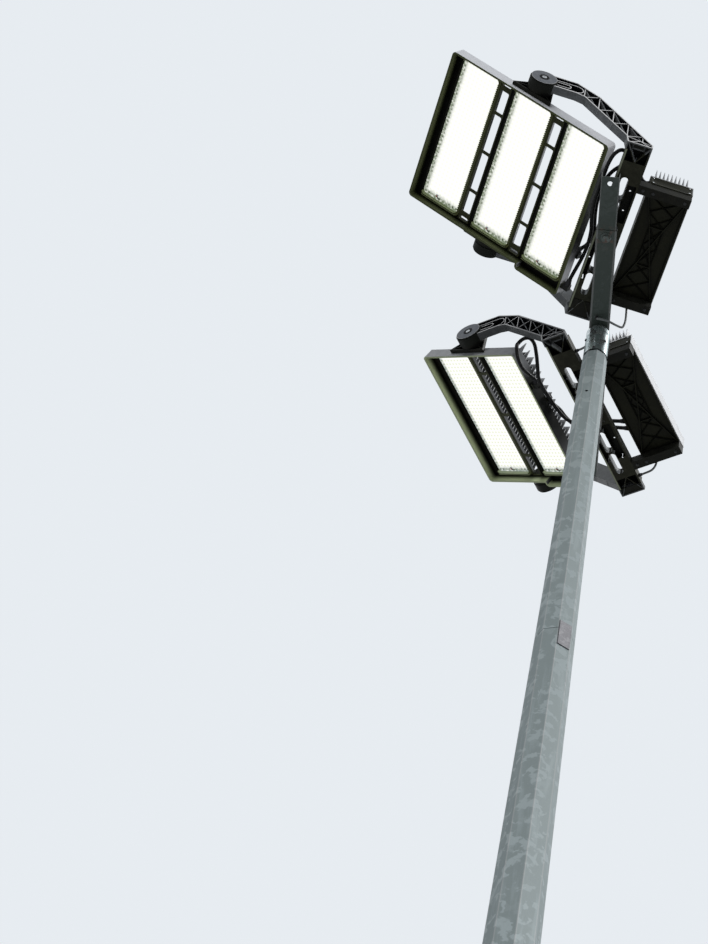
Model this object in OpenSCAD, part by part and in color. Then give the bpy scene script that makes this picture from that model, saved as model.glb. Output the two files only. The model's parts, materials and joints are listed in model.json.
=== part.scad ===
// Sports-ground lighting column: a tapered octagonal steel shaft on an anchor plate,
// with a crossarm on its head that carries two tilting LED floodlights.
// Millimetres, +Z up. The origin is in the middle of the anchor plate's underside.
// The crossarm runs along Y. The lamps hang out towards -X, the driver boxes towards +X.

/* [Shaft] */
// Height of the shaft's top rim above the ground
column_h = 12000; // [10500:100:13000]
// Width of the shaft at its top rim, corner to corner
shaft_top_w = 106; // [102:1:120]
// How much the width grows for each metre down, corner to corner
shaft_taper = 21; // [18:0.5:22]
// Thickness of the shaft's wall
shaft_wall = 4; // [3:0.5:5]
// Turn of the shaft's corners about Z, away from the crossarm
shaft_turn = 8; // [0:1:20]
// Height of the joint between the lower and the upper shaft
joint_z = 9900; // [9000:50:10200]
// Open seam between the two lengths of shaft
joint_seam = 3; // [2:0.5:5]
// Length of the spigot that the upper shaft puts into the lower one
joint_spigot_l = 450; // [350:10:500]
// Clearance round the spigot
joint_clearance = 0.6; // [0.3:0.1:1]
// Diameter of the small hole near the shaft's top
top_hole_d = 14; // [10:1:18]
// Distance of that hole below the shaft's rim
top_hole_drop = 350; // [250:5:450]

/* [Joint patch] */
// Height of the plate over the joint's fixing
patch_h = 146; // [120:2:170]
// Width of the plate
patch_w = 50; // [40:1:54]
// Thickness of the plate
patch_t = 3; // [2:0.5:5]
// How far the plate stands up past the seam
patch_above_seam = 48; // [30:1:60]

/* [Anchor plate] */
// Side of the square anchor plate
plate_w = 520; // [500:5:600]
// Thickness of the anchor plate
plate_t = 25; // [20:1:35]
// Cut at each corner of the plate
plate_corner = 45; // [20:1:60]
// Distance between the anchor holes
anchor_pitch = 420; // [410:5:440]
// Diameter of an anchor hole
anchor_hole_d = 36; // [30:1:42]
// Diameter of the hole that the supply comes up through
supply_hole_d = 150; // [100:5:180]

/* [Service door] */
// Height of the door's lower edge above the ground
door_z = 600; // [500:10:800]
// Height of the door
door_h = 500; // [350:10:600]
// Width of the door
door_w = 100; // [90:1:106]
// Thickness of the door plate
door_t = 4; // [3:0.5:5]
// Gap all round the door
door_gap = 1.5; // [1:0.5:3]

/* [Head] */
// Height of the recessed neck between the shaft's rim and the head sleeve
neck_h = 9; // [6:1:14]
// Diameter of the neck
neck_d = 84; // [78:1:86]
// Length of the plug that the head puts into the shaft
head_plug_l = 160; // [120:5:250]
// Clearance round that plug
head_clearance = 0.3; // [0.2:0.1:0.6]
// Outer diameter of the head sleeve
sleeve_d = 104; // [98:1:108]
// Length of the head sleeve
sleeve_h = 205; // [180:5:220]
// Thickness of the sleeve's wall
sleeve_wall = 7; // [5:0.5:9]
// Thickness of the sleeve's floor
sleeve_floor = 15; // [10:1:25]
// Outer diameter of the post that stands in the sleeve
post_d = 74; // [66:1:78]
// Thickness of the post's wall
post_wall = 6; // [4:0.5:8]
// Distance from the sleeve's top to the crossarm's underside
saddle_h = 33; // [25:1:45]

/* [Crossarm] */
// Width of the main channel
arm_w = 88; // [80:1:96]
// Depth of the main channel
arm_d = 50; // [44:1:60]
// Thickness of the channels
arm_t = 4; // [3:0.5:5]
// Distance from the shaft's axis to the end of the main channel
arm_reach = 500; // [492:2:540]
// Distance from the shaft's axis to the end of an extension channel
arm_end = 753; // [700:1:800]
// Length of an extension channel inside the main one
arm_lap = 200; // [120:5:240]
// Clearance between the main channel and an extension on each side
arm_clearance = 0.5; // [0.3:0.1:1]
// Diameter of the spare hole near the end of an extension
arm_hole_d = 24; // [18:1:28]
// Distance of that hole's centre from the end
arm_hole_edge = 32; // [24:1:40]
// Distance from the shaft's axis to each swivel bolt
pivot_reach = 466; // [460:1:474]
// Diameter of a swivel bolt
pivot_d = 20; // [16:1:24]
// Clearance of a swivel bolt in its bar
pivot_clearance = 0.3; // [0.2:0.1:0.5]
// Diameter of the washer under a swivel bolt
washer_d = 46; // [38:1:52]
// Thickness of that washer
washer_t = 4; // [3:0.5:6]

/* [Aim] */
// Swivel of the near bracket from square, away from the shaft
near_swivel = 14; // [0:0.5:30]
// Swivel of the far bracket from square, away from the shaft
far_swivel = 28; // [0:0.5:30]
// Tilt of both lamps from facing straight down
lamp_tilt = 31.6; // [5:0.2:60]

/* [Bar] */
// Width of the slotted bar
bar_w = 108; // [102:1:116]
// Distance from the swivel axis to the bar's front edge
bar_front = 46; // [42:1:54]
// Depth of the bar
bar_d = 46; // [42:1:54]
// Thickness of the bar's plates
bar_web = 7; // [6:0.5:9]
// Thickness of the bar's two flanges
bar_flange = 8; // [6:0.5:8]
// Distance from the swivel axis to the step at the end of the centre pad
pad_half = 60; // [58:1:66]
// How far the deck is drawn up between the centre pad and an end plate
deck_up = 30; // [20:1:32]
// Distance from the swivel axis to the step between deck and end plate
deck_end = 245; // [230:1:260]
// Length of the ribbed recess at each root
root_l = 52; // [40:1:60]
// Width of a slot in the bar
slot_w = 32; // [28:1:34]
// Length of a slot in the bar
slot_l = 112; // [100:1:114]
// Thickness of the collar round a slot
slot_collar = 4; // [3:0.5:4]
// Distance from the swivel axis to the middle of the row of slots
slot_mid = 25; // [20:1:30]
// Distance between slots along the row
slot_pitch = 122; // [121:0.5:124]
// How far the row of slots lies in front of the swivel axis
slot_front = 4; // [2:0.5:6]
// Diameter of the spare holes in the bar
spare_d = 9; // [7:0.5:9]
// Distance between the two rows of spare holes
spare_rows = 68; // [66:1:70]

/* [Cast arm] */
// Gap between a lamp's end wall and an arm
arm_gap = 34; // [32:1:40]
// Thickness of a cast arm along the tilt axis
cast_d = 38; // [34:1:46]
// Thickness of a cast arm's web
cast_web = 7; // [5:0.5:9]
// Thickness of a cast arm's rim
cast_rim = 6; // [5:0.5:8]
// Thickness of a cast arm's ribs
cast_rib = 4; // [3:0.5:6]
// Distance from the swivel axis forward to the tilt axis
hub_fwd = 452; // [440:1:470]
// Height of the tilt axis above the bar's underside
hub_up = 348; // [330:1:360]
// Depth of the arm's straight beam beside the hub
beam_d = 100; // [90:1:110]
// Length of that straight beam
beam_l = 150; // [140:1:170]
// Number of upright ribs
upright_count = 5; // [4:1:6]
// Distance between upright ribs along X
upright_pitch = 70; // [60:1:72]

/* [Hub] */
// Outer diameter of an arm's ring at the tilt axis
ring_d = 124; // [118:1:130]
// Diameter of the pin that carries the lamp
pin_d = 34; // [28:1:40]
// Clearance of the pin in an arm's ring
pin_clearance = 0.3; // [0.2:0.1:0.5]
// Diameter of the cap outside an arm
cap_d = 116; // [108:1:122]
// Thickness of the cap
cap_t = 9; // [7:1:12]
// Diameter of the drum between lamp and arm
drum_d = 118; // [110:1:124]
// Thickness of the wedge that carries the drum on the lamp's end wall
wedge_t = 18; // [14:1:24]
// Thickness of the wedge's rim and back
wedge_rim = 6; // [5:0.5:8]

/* [Lamp] */
// Distance between modules
module_pitch = 296; // [290:1:300]
// Length of a module's glass along the tilt axis
glass_l = 690; // [680:1:700]
// Width of a module's glass
glass_w = 210; // [200:1:214]
// Radius of the glass's corners
glass_r = 14; // [8:1:20]
// Distance from the tilt axis to a module's front lip
glass_drop = 48; // [46:1:54]
// Depth of the lit board behind the lip
glass_recess = 16; // [12:1:18]
// Width of the lip round the glass
lip_w = 12; // [10:1:14]
// How far a module's body reaches past its glass
body_margin = 8; // [6:0.5:9]
// Clearance of a module's body in the frame
body_clearance = 0.5; // [0.3:0.1:1]
// Width of the frame beyond the ends of the glass
frame_end = 25; // [24:1:30]
// Width of the frame beyond the first and the last glass
frame_margin = 38; // [32:1:48]
// How far the frame's far end steps out beside its last module
frame_step = 24; // [16:1:26]
// Distance from the tilt axis to where a three-module frame steps out
near_step_x = 205; // [190:1:215]
// Distance from the tilt axis to where a two-module frame steps out
far_step_x = 80; // [64:1:90]
// Distance from the tilt axis to the frame's front edge
frame_front = 83; // [78:1:92]
// Distance from the tilt axis to the frame's back
frame_back = 26; // [24:1:28]
// Thickness of the frame's floor, which the modules hang through
frame_floor = 14; // [10:1:16]
// Thickness of the frame's walls
frame_t = 9; // [7:1:10]
// Radius of the frame's outer corners
frame_r = 18; // [12:1:22]
// Distance of the lamp's middle behind the tilt axis
lamp_set = 11; // [0:1:16]

/* [Ladders] */
// Width of the opening between modules
gap_w = 46; // [36:1:48]
// Width of an inner rung
rung_w = 14; // [10:1:20]
// Width of an outer rung
rung_end_w = 24; // [16:1:30]
// Thickness of a rung
rung_t = 6; // [4:0.5:8]
// Distance from the end of the glass to the outer rung of a three-module lamp
rung_outer = 23; // [20:1:30]
// Distance from the end of the glass to its next rung
rung_inner = 147; // [120:1:170]
// Distance from the end of the glass to the outer rung of a two-module lamp
far_rung_outer = 107; // [80:1:130]

/* [Heat sinks] */
// Distance between fins
fin_pitch = 20; // [16:0.5:24]
// Thickness of a fin
fin_t = 3; // [2.5:0.5:5]
// Thickness of the plate under the fins
fin_base = 7; // [5:1:10]
// Height of every other fin, the tall ones
fin_h = 107; // [90:1:112]
// Width of a tall fin at its top
fin_top_w = 132; // [110:1:150]
// Height of the short fins between them
fin_low_h = 59; // [40:1:70]
// Width of a short fin at its top
fin_low_top_w = 166; // [150:1:180]

/* [Driver box] */
// Distance from the swivel axis to the box's near side
box_near = 106; // [100:1:116]
// Width of the box
box_w = 190; // [180:1:200]
// Length of the box along the bar
box_l = 590; // [570:2:600]
// How far the box's middle lies off the swivel axis along the bar
box_shift = 34; // [28:1:38]
// Height of the box's housing
box_h = 70; // [60:1:80]
// Depth of the recess in the box's underside
box_recess = 10; // [6:1:14]
// Thickness of the plate under the fins
box_plate = 6; // [4:1:8]
// Height of the fins and their plate
box_fin_h = 74; // [60:1:80]
// Number of fins on top of the box
box_fins = 9; // [7:1:10]
// Distance between those fins
box_fin_pitch = 17.5; // [15:0.5:18.5]
// Thickness of a box fin
box_fin_t = 5; // [4:0.5:7]
// Width of a crossmember between bar and box
cross_w = 42; // [36:1:50]

/* [Hidden] */

galvanised = "#8f9a9d";
new_zinc = "#c8ced2";
dark_steel = "#4b5557";
cast_grey = "#5c6264";
black_cast = "#26282a";
led_white = "#fbfdf2";
cable_black = "#141516";

// How far one solid reaches into another that it is fused with, or a cut past a face
over = 1;
flat_k = cos(22.5);

// Half the shaft's width, corner to corner, at a height
function corner_r(z) = shaft_top_w / 2 + (column_h - z) / 1000 * shaft_taper / 2;
function flat_r(z) = corner_r(z) * flat_k;
taper_angle = atan(shaft_taper / 2000 * flat_k);

sleeve_z = column_h + neck_h;
crossarm_z = sleeve_z + sleeve_h + saddle_h;
bar_z = crossarm_z + arm_d;

// Solid octagonal taper between two heights, drawn in by inset all round
module shaft_solid(z0, z1, inset = 0) {
    translate([0, 0, z0])
        rotate([0, 0, shaft_turn])
            cylinder(h = z1 - z0, r1 = corner_r(z0) - inset / flat_k,
                     r2 = corner_r(z1) - inset / flat_k, $fn = 8);
}

// Places its child on the shaft's flat number k, at a height, with +Y out of the flat
module on_flat(k, z) {
    rotate([0, 0, shaft_turn + 22.5 + 45 * k - 90])
        translate([0, flat_r(z), z])
            rotate([taper_angle, 0, 0])
                children();
}
door_flat = 2;
patch_flat = 6;
top_hole_flat = 5;

// Upright slab with rounded corners, its middle on the origin
module rounded_slab(w, l, h, r) {
    linear_extrude(h) rounded_rect(w, l, r);
}

module rounded_rect(w, l, r) {
    for (x = [-1, 1], y = [-1, 1])
        translate([x * (w / 2 - r), y * (l / 2 - r)]) circle(r = r, $fn = 24);
    square([w - 2 * r, l], center = true);
    square([w, l - 2 * r], center = true);
}

module base_plate() {
    c = plate_w / 2;
    k = c - plate_corner;
    color(galvanised)
    difference() {
        linear_extrude(plate_t)
            polygon([[-c, -k], [-k, -c], [k, -c], [c, -k], [c, k], [k, c], [-k, c], [-c, k]]);
        translate([0, 0, -over]) cylinder(h = plate_t + 2 * over, d = supply_hole_d, $fn = 64);
        for (x = [-1, 1], y = [-1, 1])
            translate([x * anchor_pitch / 2, y * anchor_pitch / 2, -over])
                cylinder(h = plate_t + 2 * over, d = anchor_hole_d, $fn = 32);
    }
}

module door_blank(grow, depth) {
    translate([-door_w / 2 - grow, -depth, -grow])
        cube([door_w + 2 * grow, 2 * depth, door_h + 2 * grow]);
}

module pole_lower() {
    door_cut = 40;
    color(galvanised)
    difference() {
        shaft_solid(plate_t, joint_z);
        shaft_solid(plate_t - over, joint_z + over, shaft_wall);
        on_flat(door_flat, door_z) door_blank(door_gap, door_cut);
    }
}

// The door lies flush in the wall, held by two clips that reach behind it
module service_door() {
    clip_reach = 12;
    clip_w = 30;
    clip_t = 5.5;
    clip_edge = 60;
    color(galvanised)
    on_flat(door_flat, door_z) {
        translate([-door_w / 2, -door_t, 0]) cube([door_w, door_t, door_h]);
        for (z = [clip_edge, door_h - clip_edge])
            translate([-door_w / 2 - clip_reach, -shaft_wall - clip_t - 0.5, z - clip_w / 2])
                cube([door_w + 2 * clip_reach, clip_t, clip_w]);
    }
}

module pole_upper() {
    base_z = joint_z + joint_seam;
    spigot_z = joint_z - joint_spigot_l;
    spigot_top_z = base_z + 150;
    spigot_inset = shaft_wall + joint_clearance;
    color(galvanised)
    difference() {
        union() {
            shaft_solid(base_z, column_h);
            shaft_solid(spigot_z, base_z + over, spigot_inset);
        }
        shaft_solid(spigot_z - over, spigot_top_z, spigot_inset + shaft_wall);
        shaft_solid(spigot_top_z - over, column_h + over, shaft_wall);
        on_flat(top_hole_flat, column_h - top_hole_drop)
            rotate([90, 0, 0])
                cylinder(h = 4 * shaft_wall, d = top_hole_d, center = true, $fn = 24);
    }
}

module joint_patch() {
    color(galvanised)
    on_flat(patch_flat, joint_z + patch_above_seam - patch_h)
        translate([-patch_w / 2, 0, 0]) cube([patch_w, patch_t, patch_h]);
}

// A plug in the shaft, a recessed neck and an open sleeve
module head_sleeve() {
    color(new_zinc) {
        shaft_solid(column_h - head_plug_l, column_h + over, shaft_wall + head_clearance);
        translate([0, 0, column_h]) cylinder(h = neck_h + over, d = neck_d, $fn = 64);
        translate([0, 0, sleeve_z])
            difference() {
                cylinder(h = sleeve_h, d = sleeve_d, $fn = 64);
                translate([0, 0, sleeve_floor])
                    cylinder(h = sleeve_h, d = sleeve_d - 2 * sleeve_wall, $fn = 64);
            }
    }
}

// Channel that opens upwards, along Y
module channel(w, d, t, y0, y1) {
    translate([0, y1, 0]) rotate([90, 0, 0]) linear_extrude(y1 - y0)
        polygon([[-w / 2, 0], [w / 2, 0], [w / 2, d], [w / 2 - t, d], [w / 2 - t, t],
                 [-w / 2 + t, t], [-w / 2 + t, d], [-w / 2, d]]);
}

// The main channel stands on a post that goes down to the sleeve's floor
module crossarm_main() {
    post_l = saddle_h + sleeve_h - sleeve_floor;
    color(dark_steel)
    translate([0, 0, crossarm_z]) {
        difference() {
            channel(arm_w, arm_d, arm_t, -arm_reach, arm_reach);
            for (s = [-1, 1])
                translate([0, s * pivot_reach, -over])
                    cylinder(h = arm_t + 2 * over, d = pivot_d, $fn = 32);
        }
        translate([0, 0, -post_l])
            difference() {
                cylinder(h = post_l + over, d = post_d, $fn = 64);
                translate([0, 0, -over]) cylinder(h = post_l + over, d = post_d - 2 * post_wall, $fn = 64);
            }
    }
}

module crossarm_extensions() {
    inner_w = arm_w - 2 * arm_t - 2 * arm_clearance;
    color(dark_steel)
    translate([0, 0, crossarm_z + arm_t])
    for (turn = [0, 180]) rotate([0, 0, turn])
        difference() {
            channel(inner_w, arm_d - arm_t, arm_t, -arm_end, -arm_reach + arm_lap);
            translate([0, -pivot_reach, -over])
                cylinder(h = arm_t + 2 * over, d = pivot_d, $fn = 32);
            translate([0, -arm_end + arm_hole_edge, -over])
                cylinder(h = arm_t + 2 * over, d = arm_hole_d, $fn = 32);
        }
}

module swivel_bolts() {
    head_h = 12;
    nut_h = 16;
    thread_past = 6;
    across = pivot_d * 1.7;
    shank_d = pivot_d - 2 * pivot_clearance;
    seat_z = arm_d + bar_web;
    color(dark_steel)
    for (s = [-1, 1])
        translate([0, s * pivot_reach, crossarm_z]) {
            translate([0, 0, -washer_t]) cylinder(h = washer_t, d = washer_d, $fn = 48);
            translate([0, 0, -washer_t - head_h]) cylinder(h = head_h, d = across, $fn = 6);
            translate([0, 0, -washer_t])
                cylinder(h = seat_z + 2 * washer_t + nut_h + thread_past, d = shank_d, $fn = 32);
            translate([0, 0, seat_z]) cylinder(h = washer_t, d = washer_d * 0.8, $fn = 48);
            translate([0, 0, seat_z + washer_t]) cylinder(h = nut_h, d = across, $fn = 6);
        }
}

// The bracket's own frame: origin on the swivel axis at the bar's underside, lamp towards -X,
// driver box towards +X, the bar along Y. side is -1 for the near bracket and 1 for the far one.
module bracket_frame(side) {
    translate([0, side * pivot_reach, bar_z])
        rotate([0, 0, side < 0 ? near_swivel : -far_swivel])
            children();
}

// The lamp's own frame: origin on the tilt axis, glass facing -Z, back edge towards +X
module lamp_frame(side) {
    bracket_frame(side)
        translate([-hub_fwd, 0, hub_up])
            rotate([0, lamp_tilt, 0])
                children();
}

// A rib between two points
module rib(a, b) {
    d = b - a;
    translate(a) rotate(atan2(d[1], d[0]))
        translate([0, -cast_rib / 2]) square([norm(d), cast_rib]);
}

frame_l = glass_l + 2 * frame_end;
arm_in = frame_l / 2 + arm_gap;
bar_back = bar_w - bar_front;
bar_mid = (bar_back - bar_front) / 2;
plate_end = arm_in - root_l;
slot_places = [for (k = [-2, -1, 1, 2]) slot_mid + k * slot_pitch];
// Places of the spare holes along the bar
spare_places = [-205, -107, -24, 42, 155, 249];
// How far the middle of their two rows lies behind the swivel axis
spare_back = 2;

// One of the bar's plates, between two places along it, at a height
module bar_plate(u0, u1, z) {
    translate([-bar_front, u0, z]) cube([bar_w, u1 - u0, bar_web]);
}

// The wall that joins two plates of different height
module bar_step(u, h) {
    translate([-bar_front, u - bar_web, 0]) cube([bar_w, bar_web, h]);
}

module slot_outline(grow) {
    for (u = slot_places)
        translate([-slot_front, u]) {
            for (e = [-1, 1])
                translate([0, e * (slot_l - slot_w) / 2]) circle(d = slot_w + 2 * grow, $fn = 32);
            square([slot_w + 2 * grow, slot_l - slot_w], center = true);
        }
}

// Ribs from the outer corners under an arm's foot to the middle of the bar's end plate,
// as far as they lie between two places along the bar
module root_ribs(u0, u1, h) {
    linear_extrude(h)
        intersection() {
            translate([-bar_front, u0]) square([bar_w, u1 - u0]);
            for (x = [-bar_front, bar_back])
                rib([x, arm_in + cast_d], [bar_mid, plate_end - over]);
        }
}

// A casting with two flanges, a pad under the bolt, raised decks, end plates and ribbed roots
module bar(side) {
    deck_top = deck_up + bar_web;
    color(black_cast)
    bracket_frame(side)
    difference() {
        union() {
            for (x = [-bar_front, bar_back - bar_flange])
                translate([x, -arm_in, 0]) cube([bar_flange, 2 * arm_in, bar_d]);
            bar_plate(-pad_half, pad_half, 0);
            for (m = [0, 1]) mirror([0, m, 0]) {
                bar_step(pad_half, deck_top);
                bar_plate(pad_half - over, deck_end + over, deck_up);
                bar_step(deck_end + bar_web, deck_top);
                bar_plate(deck_end, plate_end, 0);
                bar_step(plate_end, bar_d);
                bar_plate(plate_end - over, arm_in, bar_d - bar_web);
                root_ribs(plate_end, arm_in, bar_d);
            }
            linear_extrude(bar_d) slot_outline(slot_collar);
        }
        translate([0, 0, -over]) linear_extrude(bar_d + 2 * over) slot_outline(0);
        for (x = [-1, 1], u = spare_places)
            translate([x * spare_rows / 2 + spare_back, u, -over])
                cylinder(h = bar_d, d = spare_d, $fn = 16);
        translate([0, 0, -over])
            cylinder(h = bar_web + 2 * over, d = pivot_d + 2 * pivot_clearance, $fn = 32);
    }
}

// Outline of a cast arm in the bracket's X and Z: its upper and lower edges from hub to root
beam_mid = hub_up + 8;
shoulder = [-hub_fwd + beam_l + 108, hub_up - 12];
elbow = [-hub_fwd + beam_l + 40, hub_up - 54];
root_front = [-58, 50];
root_back = [bar_back, 26];
upper_edge = [[-hub_fwd, beam_mid + beam_d / 2], [-hub_fwd + beam_l, beam_mid + beam_d / 2],
    shoulder, root_back];
lower_edge = [[-hub_fwd, beam_mid - beam_d / 2], [-hub_fwd + beam_l, beam_mid - beam_d / 2],
    elbow, root_front];
arm_foot = [[-50, 0], [bar_back, 0]];

function unit(v) = v / norm(v);
function left_of(v) = [-v[1], v[0]];

// An outline that runs anticlockwise, drawn in by a distance along each of its sides
function drawn_in(points, by) = [for (i = [0 : len(points) - 1])
    let (a = points[(i + len(points) - 1) % len(points)], b = points[i], c = points[(i + 1) % len(points)],
         u = unit(b - a), v = unit(c - b))
    b + by * (left_of(u) + left_of(v)) / (1 + u * v)];
function reversed(points) = [for (i = [len(points) - 1 : -1 : 0]) points[i]];
arm_points = concat(lower_edge, arm_foot, reversed(upper_edge));

upright_x = [for (k = [0 : upright_count - 1]) bar_back - 47 - k * upright_pitch];
function upper_at(x) = [x, lookup(x, upper_edge)];
function lower_at(x) = [x, lookup(x, concat(lower_edge, [root_back]))];

// A rib bent round like a hairpin, open towards the hub
module hairpin(reach, half) {
    translate([-hub_fwd, hub_up])
    difference() {
        hairpin_outline(reach, half + cast_rib / 2);
        hairpin_outline(reach, half - cast_rib / 2);
    }
}

module hairpin_outline(reach, r) {
    translate([reach, 0]) circle(r = r, $fn = 32);
    translate([0, -r]) square([reach, 2 * r]);
}

module arm_ribs() {
    foot_mid = [(arm_foot[0][0] + bar_back) / 2, (root_front[1] + root_back[1]) / 2];
    for (x = upright_x) rib(lower_at(x), upper_at(x));
    for (k = [1 : upright_count - 1]) rib(lower_at(upright_x[k]), upper_at(upright_x[k - 1]));
    rib(root_front, root_back);
    for (corner = arm_foot) rib(corner, foot_mid);
    hairpin(beam_l, 30);
    hairpin(beam_l - 40, 14);
}

// A cast arm with its web on the inside and the truss of ribs showing on the outside.
// Its foot is open below, with ribs that go on from those of the bar.
module cast_arm(side, end) {
    rib_d = cast_d - 3;
    foot_h = 20;
    foot_w = bar_back - arm_foot[0][0] - 2 * cast_rim;
    color(cast_grey)
    bracket_frame(side)
    mirror([0, end > 0 ? 0 : 1, 0]) {
    root_ribs(arm_in, arm_in + cast_d - cast_rim + over, foot_h + over);
    translate([0, arm_in, 0])
    difference() {
        union() {
            translate([0, cast_web, 0]) rotate([90, 0, 0])
                linear_extrude(cast_web) polygon(arm_points);
            translate([0, cast_d, 0]) rotate([90, 0, 0])
                linear_extrude(cast_d) difference() {
                    polygon(arm_points);
                    polygon(drawn_in(arm_points, cast_rim));
                }
            translate([0, rib_d, 0]) rotate([90, 0, 0])
                linear_extrude(rib_d) intersection() {
                    arm_ribs();
                    polygon(arm_points);
                }
            translate([-hub_fwd, 0, hub_up]) rotate([-90, 0, 0])
                cylinder(h = cast_d, d = ring_d, $fn = 64);
        }
        translate([-hub_fwd, -over, hub_up]) rotate([-90, 0, 0])
            cylinder(h = cast_d + 2 * over, d = pin_d + 2 * pin_clearance, $fn = 48);
        translate([arm_foot[0][0] + cast_rim, -over, -over])
            cube([foot_w, cast_d - cast_rim + over, foot_h + over]);
    }
    }
}

// Round caps outside the arms, each with a raised boss, a socket, and a recess for the pin's end
module hub_caps(side) {
    boss_h = 2;
    socket_depth = 5;
    pin_recess = 1.5;
    color(cast_grey)
    bracket_frame(side)
    for (m = [0, 1]) mirror([0, m, 0])
        translate([-hub_fwd, arm_in + cast_d, hub_up]) rotate([-90, 0, 0])
            difference() {
                union() {
                    cylinder(h = cap_t - boss_h, d = cap_d, $fn = 64);
                    cylinder(h = cap_t, d = cap_d * 0.36, $fn = 48);
                }
                translate([0, 0, cap_t - socket_depth])
                    cylinder(h = socket_depth + over, d = cap_d * 0.2, $fn = 32);
                translate([0, 0, -over]) cylinder(h = pin_recess + over, d = pin_d + 4, $fn = 48);
            }
}

// Two open trough-shaped crossmembers from the bar to the far side of the box
module driver_mounts(side) {
    trough_t = 6;
    reach = box_near + box_w - bar_back;
    cross_at = box_l / 2 - cross_w / 2;
    color(black_cast)
    bracket_frame(side)
    for (s = [-1, 1])
        translate([bar_back, box_shift + s * cross_at, 0])
            difference() {
                translate([0, -cross_w / 2, 0]) cube([reach, cross_w, bar_d]);
                translate([-over, -cross_w / 2 + trough_t, trough_t])
                    cube([reach - trough_t + over, cross_w - 2 * trough_t, bar_d]);
            }
}

box_mid_x = box_near + box_w / 2;

// Ribs of the box's underside: a crossed middle, and a fork out to each end's corners
module box_ribs(w, l) {
    fork_x = w * 0.18;
    fork_u = l * 0.19;
    for (s = [-1, 1]) {
        rib([-fork_x, s * fork_u], [fork_x, s * fork_u]);
        rib([-fork_x, -s * fork_u], [fork_x, s * fork_u]);
        for (x = [-1, 1]) rib([x * fork_x, s * fork_u], [x * w / 2, s * l / 2]);
    }
}

module driver_housing(side) {
    edge = 7;
    w = box_w - 2 * edge;
    l = box_l - 2 * cross_w;
    color(black_cast)
    bracket_frame(side)
    translate([box_mid_x, box_shift, bar_d])
    difference() {
        translate([-box_w / 2, -box_l / 2, 0]) cube([box_w, box_l, box_h]);
        translate([0, 0, -over]) linear_extrude(box_recess + over) difference() {
            square([w, l], center = true);
            box_ribs(w, l);
        }
    }
}

// A finned lid, with a skirt down the housing's side away from the bar
module driver_fins(side) {
    tip_w = box_fin_t * 0.4;
    skirt_h = 64;
    skirt_t = 3;
    color(new_zinc)
    bracket_frame(side)
    translate([box_mid_x, box_shift + box_l / 2, bar_d + box_h]) rotate([90, 0, 0])
        linear_extrude(box_l) {
            translate([-box_w / 2, 0]) square([box_w + skirt_t, box_plate]);
            translate([box_w / 2, -skirt_h]) square([skirt_t, skirt_h + over]);
            for (k = [0 : box_fins - 1])
                translate([(k - (box_fins - 1) / 2) * box_fin_pitch, 0])
                    polygon([[-box_fin_t / 2, 0], [box_fin_t / 2, 0],
                             [tip_w / 2, box_fin_h], [-tip_w / 2, box_fin_h]]);
        }
}

// Lamp pieces, in the lamp's own frame. count is the number of modules.
function lamp_half(count) = (count - 1) / 2 * module_pitch + glass_w / 2 + frame_margin;
function lamp_edge(count) = lamp_set + lamp_half(count);
function module_x(count, k) = lamp_set + (k - (count - 1) / 2) * module_pitch;
function step_x(count) = count > 2 ? near_step_x : far_step_x;
floor_z = -frame_back - frame_floor;
body_w = glass_w + 2 * body_margin;
body_l = glass_l + 2 * body_margin;
lip_l = glass_l + 2 * lip_w;

// Outline of the frame, with its step beside the last module, drawn in all round
module frame_outline(count, inset) {
    step_l = frame_l / 2 + frame_step;
    translate([lamp_set, 0])
        rounded_rect(2 * lamp_half(count) - 2 * inset, frame_l - 2 * inset, frame_r - inset);
    translate([(step_x(count) + lamp_edge(count)) / 2, step_l / 2])
        rounded_rect(lamp_edge(count) - step_x(count) - 2 * inset, step_l - 2 * inset, frame_r - inset);
}

// A deep rim and a floor with an opening for each module and for each gap between modules
module frame(side, count) {
    color(black_cast)
    lamp_frame(side) {
        cable_entries(side, lamp_edge(count));
        translate([0, 0, -frame_front])
        difference() {
            linear_extrude(frame_front - frame_back) frame_outline(count, 0);
            translate([0, 0, -over])
                linear_extrude(frame_front + floor_z + over) frame_outline(count, frame_t);
            for (k = [0 : count - 1])
                translate([module_x(count, k), 0, 0])
                    rounded_slab(body_w, body_l, frame_front, glass_r + body_margin);
            for (k = [0 : count - 2])
                translate([module_x(count, k) + module_pitch / 2 - gap_w / 2, -body_l / 2, 0])
                    cube([gap_w, body_l, frame_front]);
        }
    }
}

// Small blocks on the frame that the lamp cables end in. Each row is how far the block starts
// past the frame's back edge, its place along the frame, its height and its size along X.
entry_w = 24;
entry_h = 28;
near_entries = [[0, 330, -70, 36], [-18, 190, -frame_back, 26]];
far_entries = [[0, -190, -68, 34], [-17, -86, -frame_back, 26]];

module cable_entries(side, edge) {
    for (e = side < 0 ? near_entries : far_entries)
        translate([edge + e[0], e[1], e[2]]) cube([e[3], entry_w, entry_h]);
}

// Each module has a lip that hangs on the frame's floor, a body through it and a recessed lit board
module led_panels(side, count) {
    color(led_white)
    lamp_frame(side)
    for (k = [0 : count - 1])
        translate([module_x(count, k), 0, -glass_drop])
            difference() {
                union() {
                    rounded_slab(glass_w + 2 * lip_w, lip_l, glass_drop + floor_z, glass_r + lip_w);
                    rounded_slab(body_w - 2 * body_clearance, body_l - 2 * body_clearance,
                                 glass_drop - frame_back - body_clearance,
                                 glass_r + body_margin - body_clearance);
                }
                translate([0, 0, -over])
                    rounded_slab(glass_w, glass_l, glass_recess + over, glass_r);
            }
}

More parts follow.
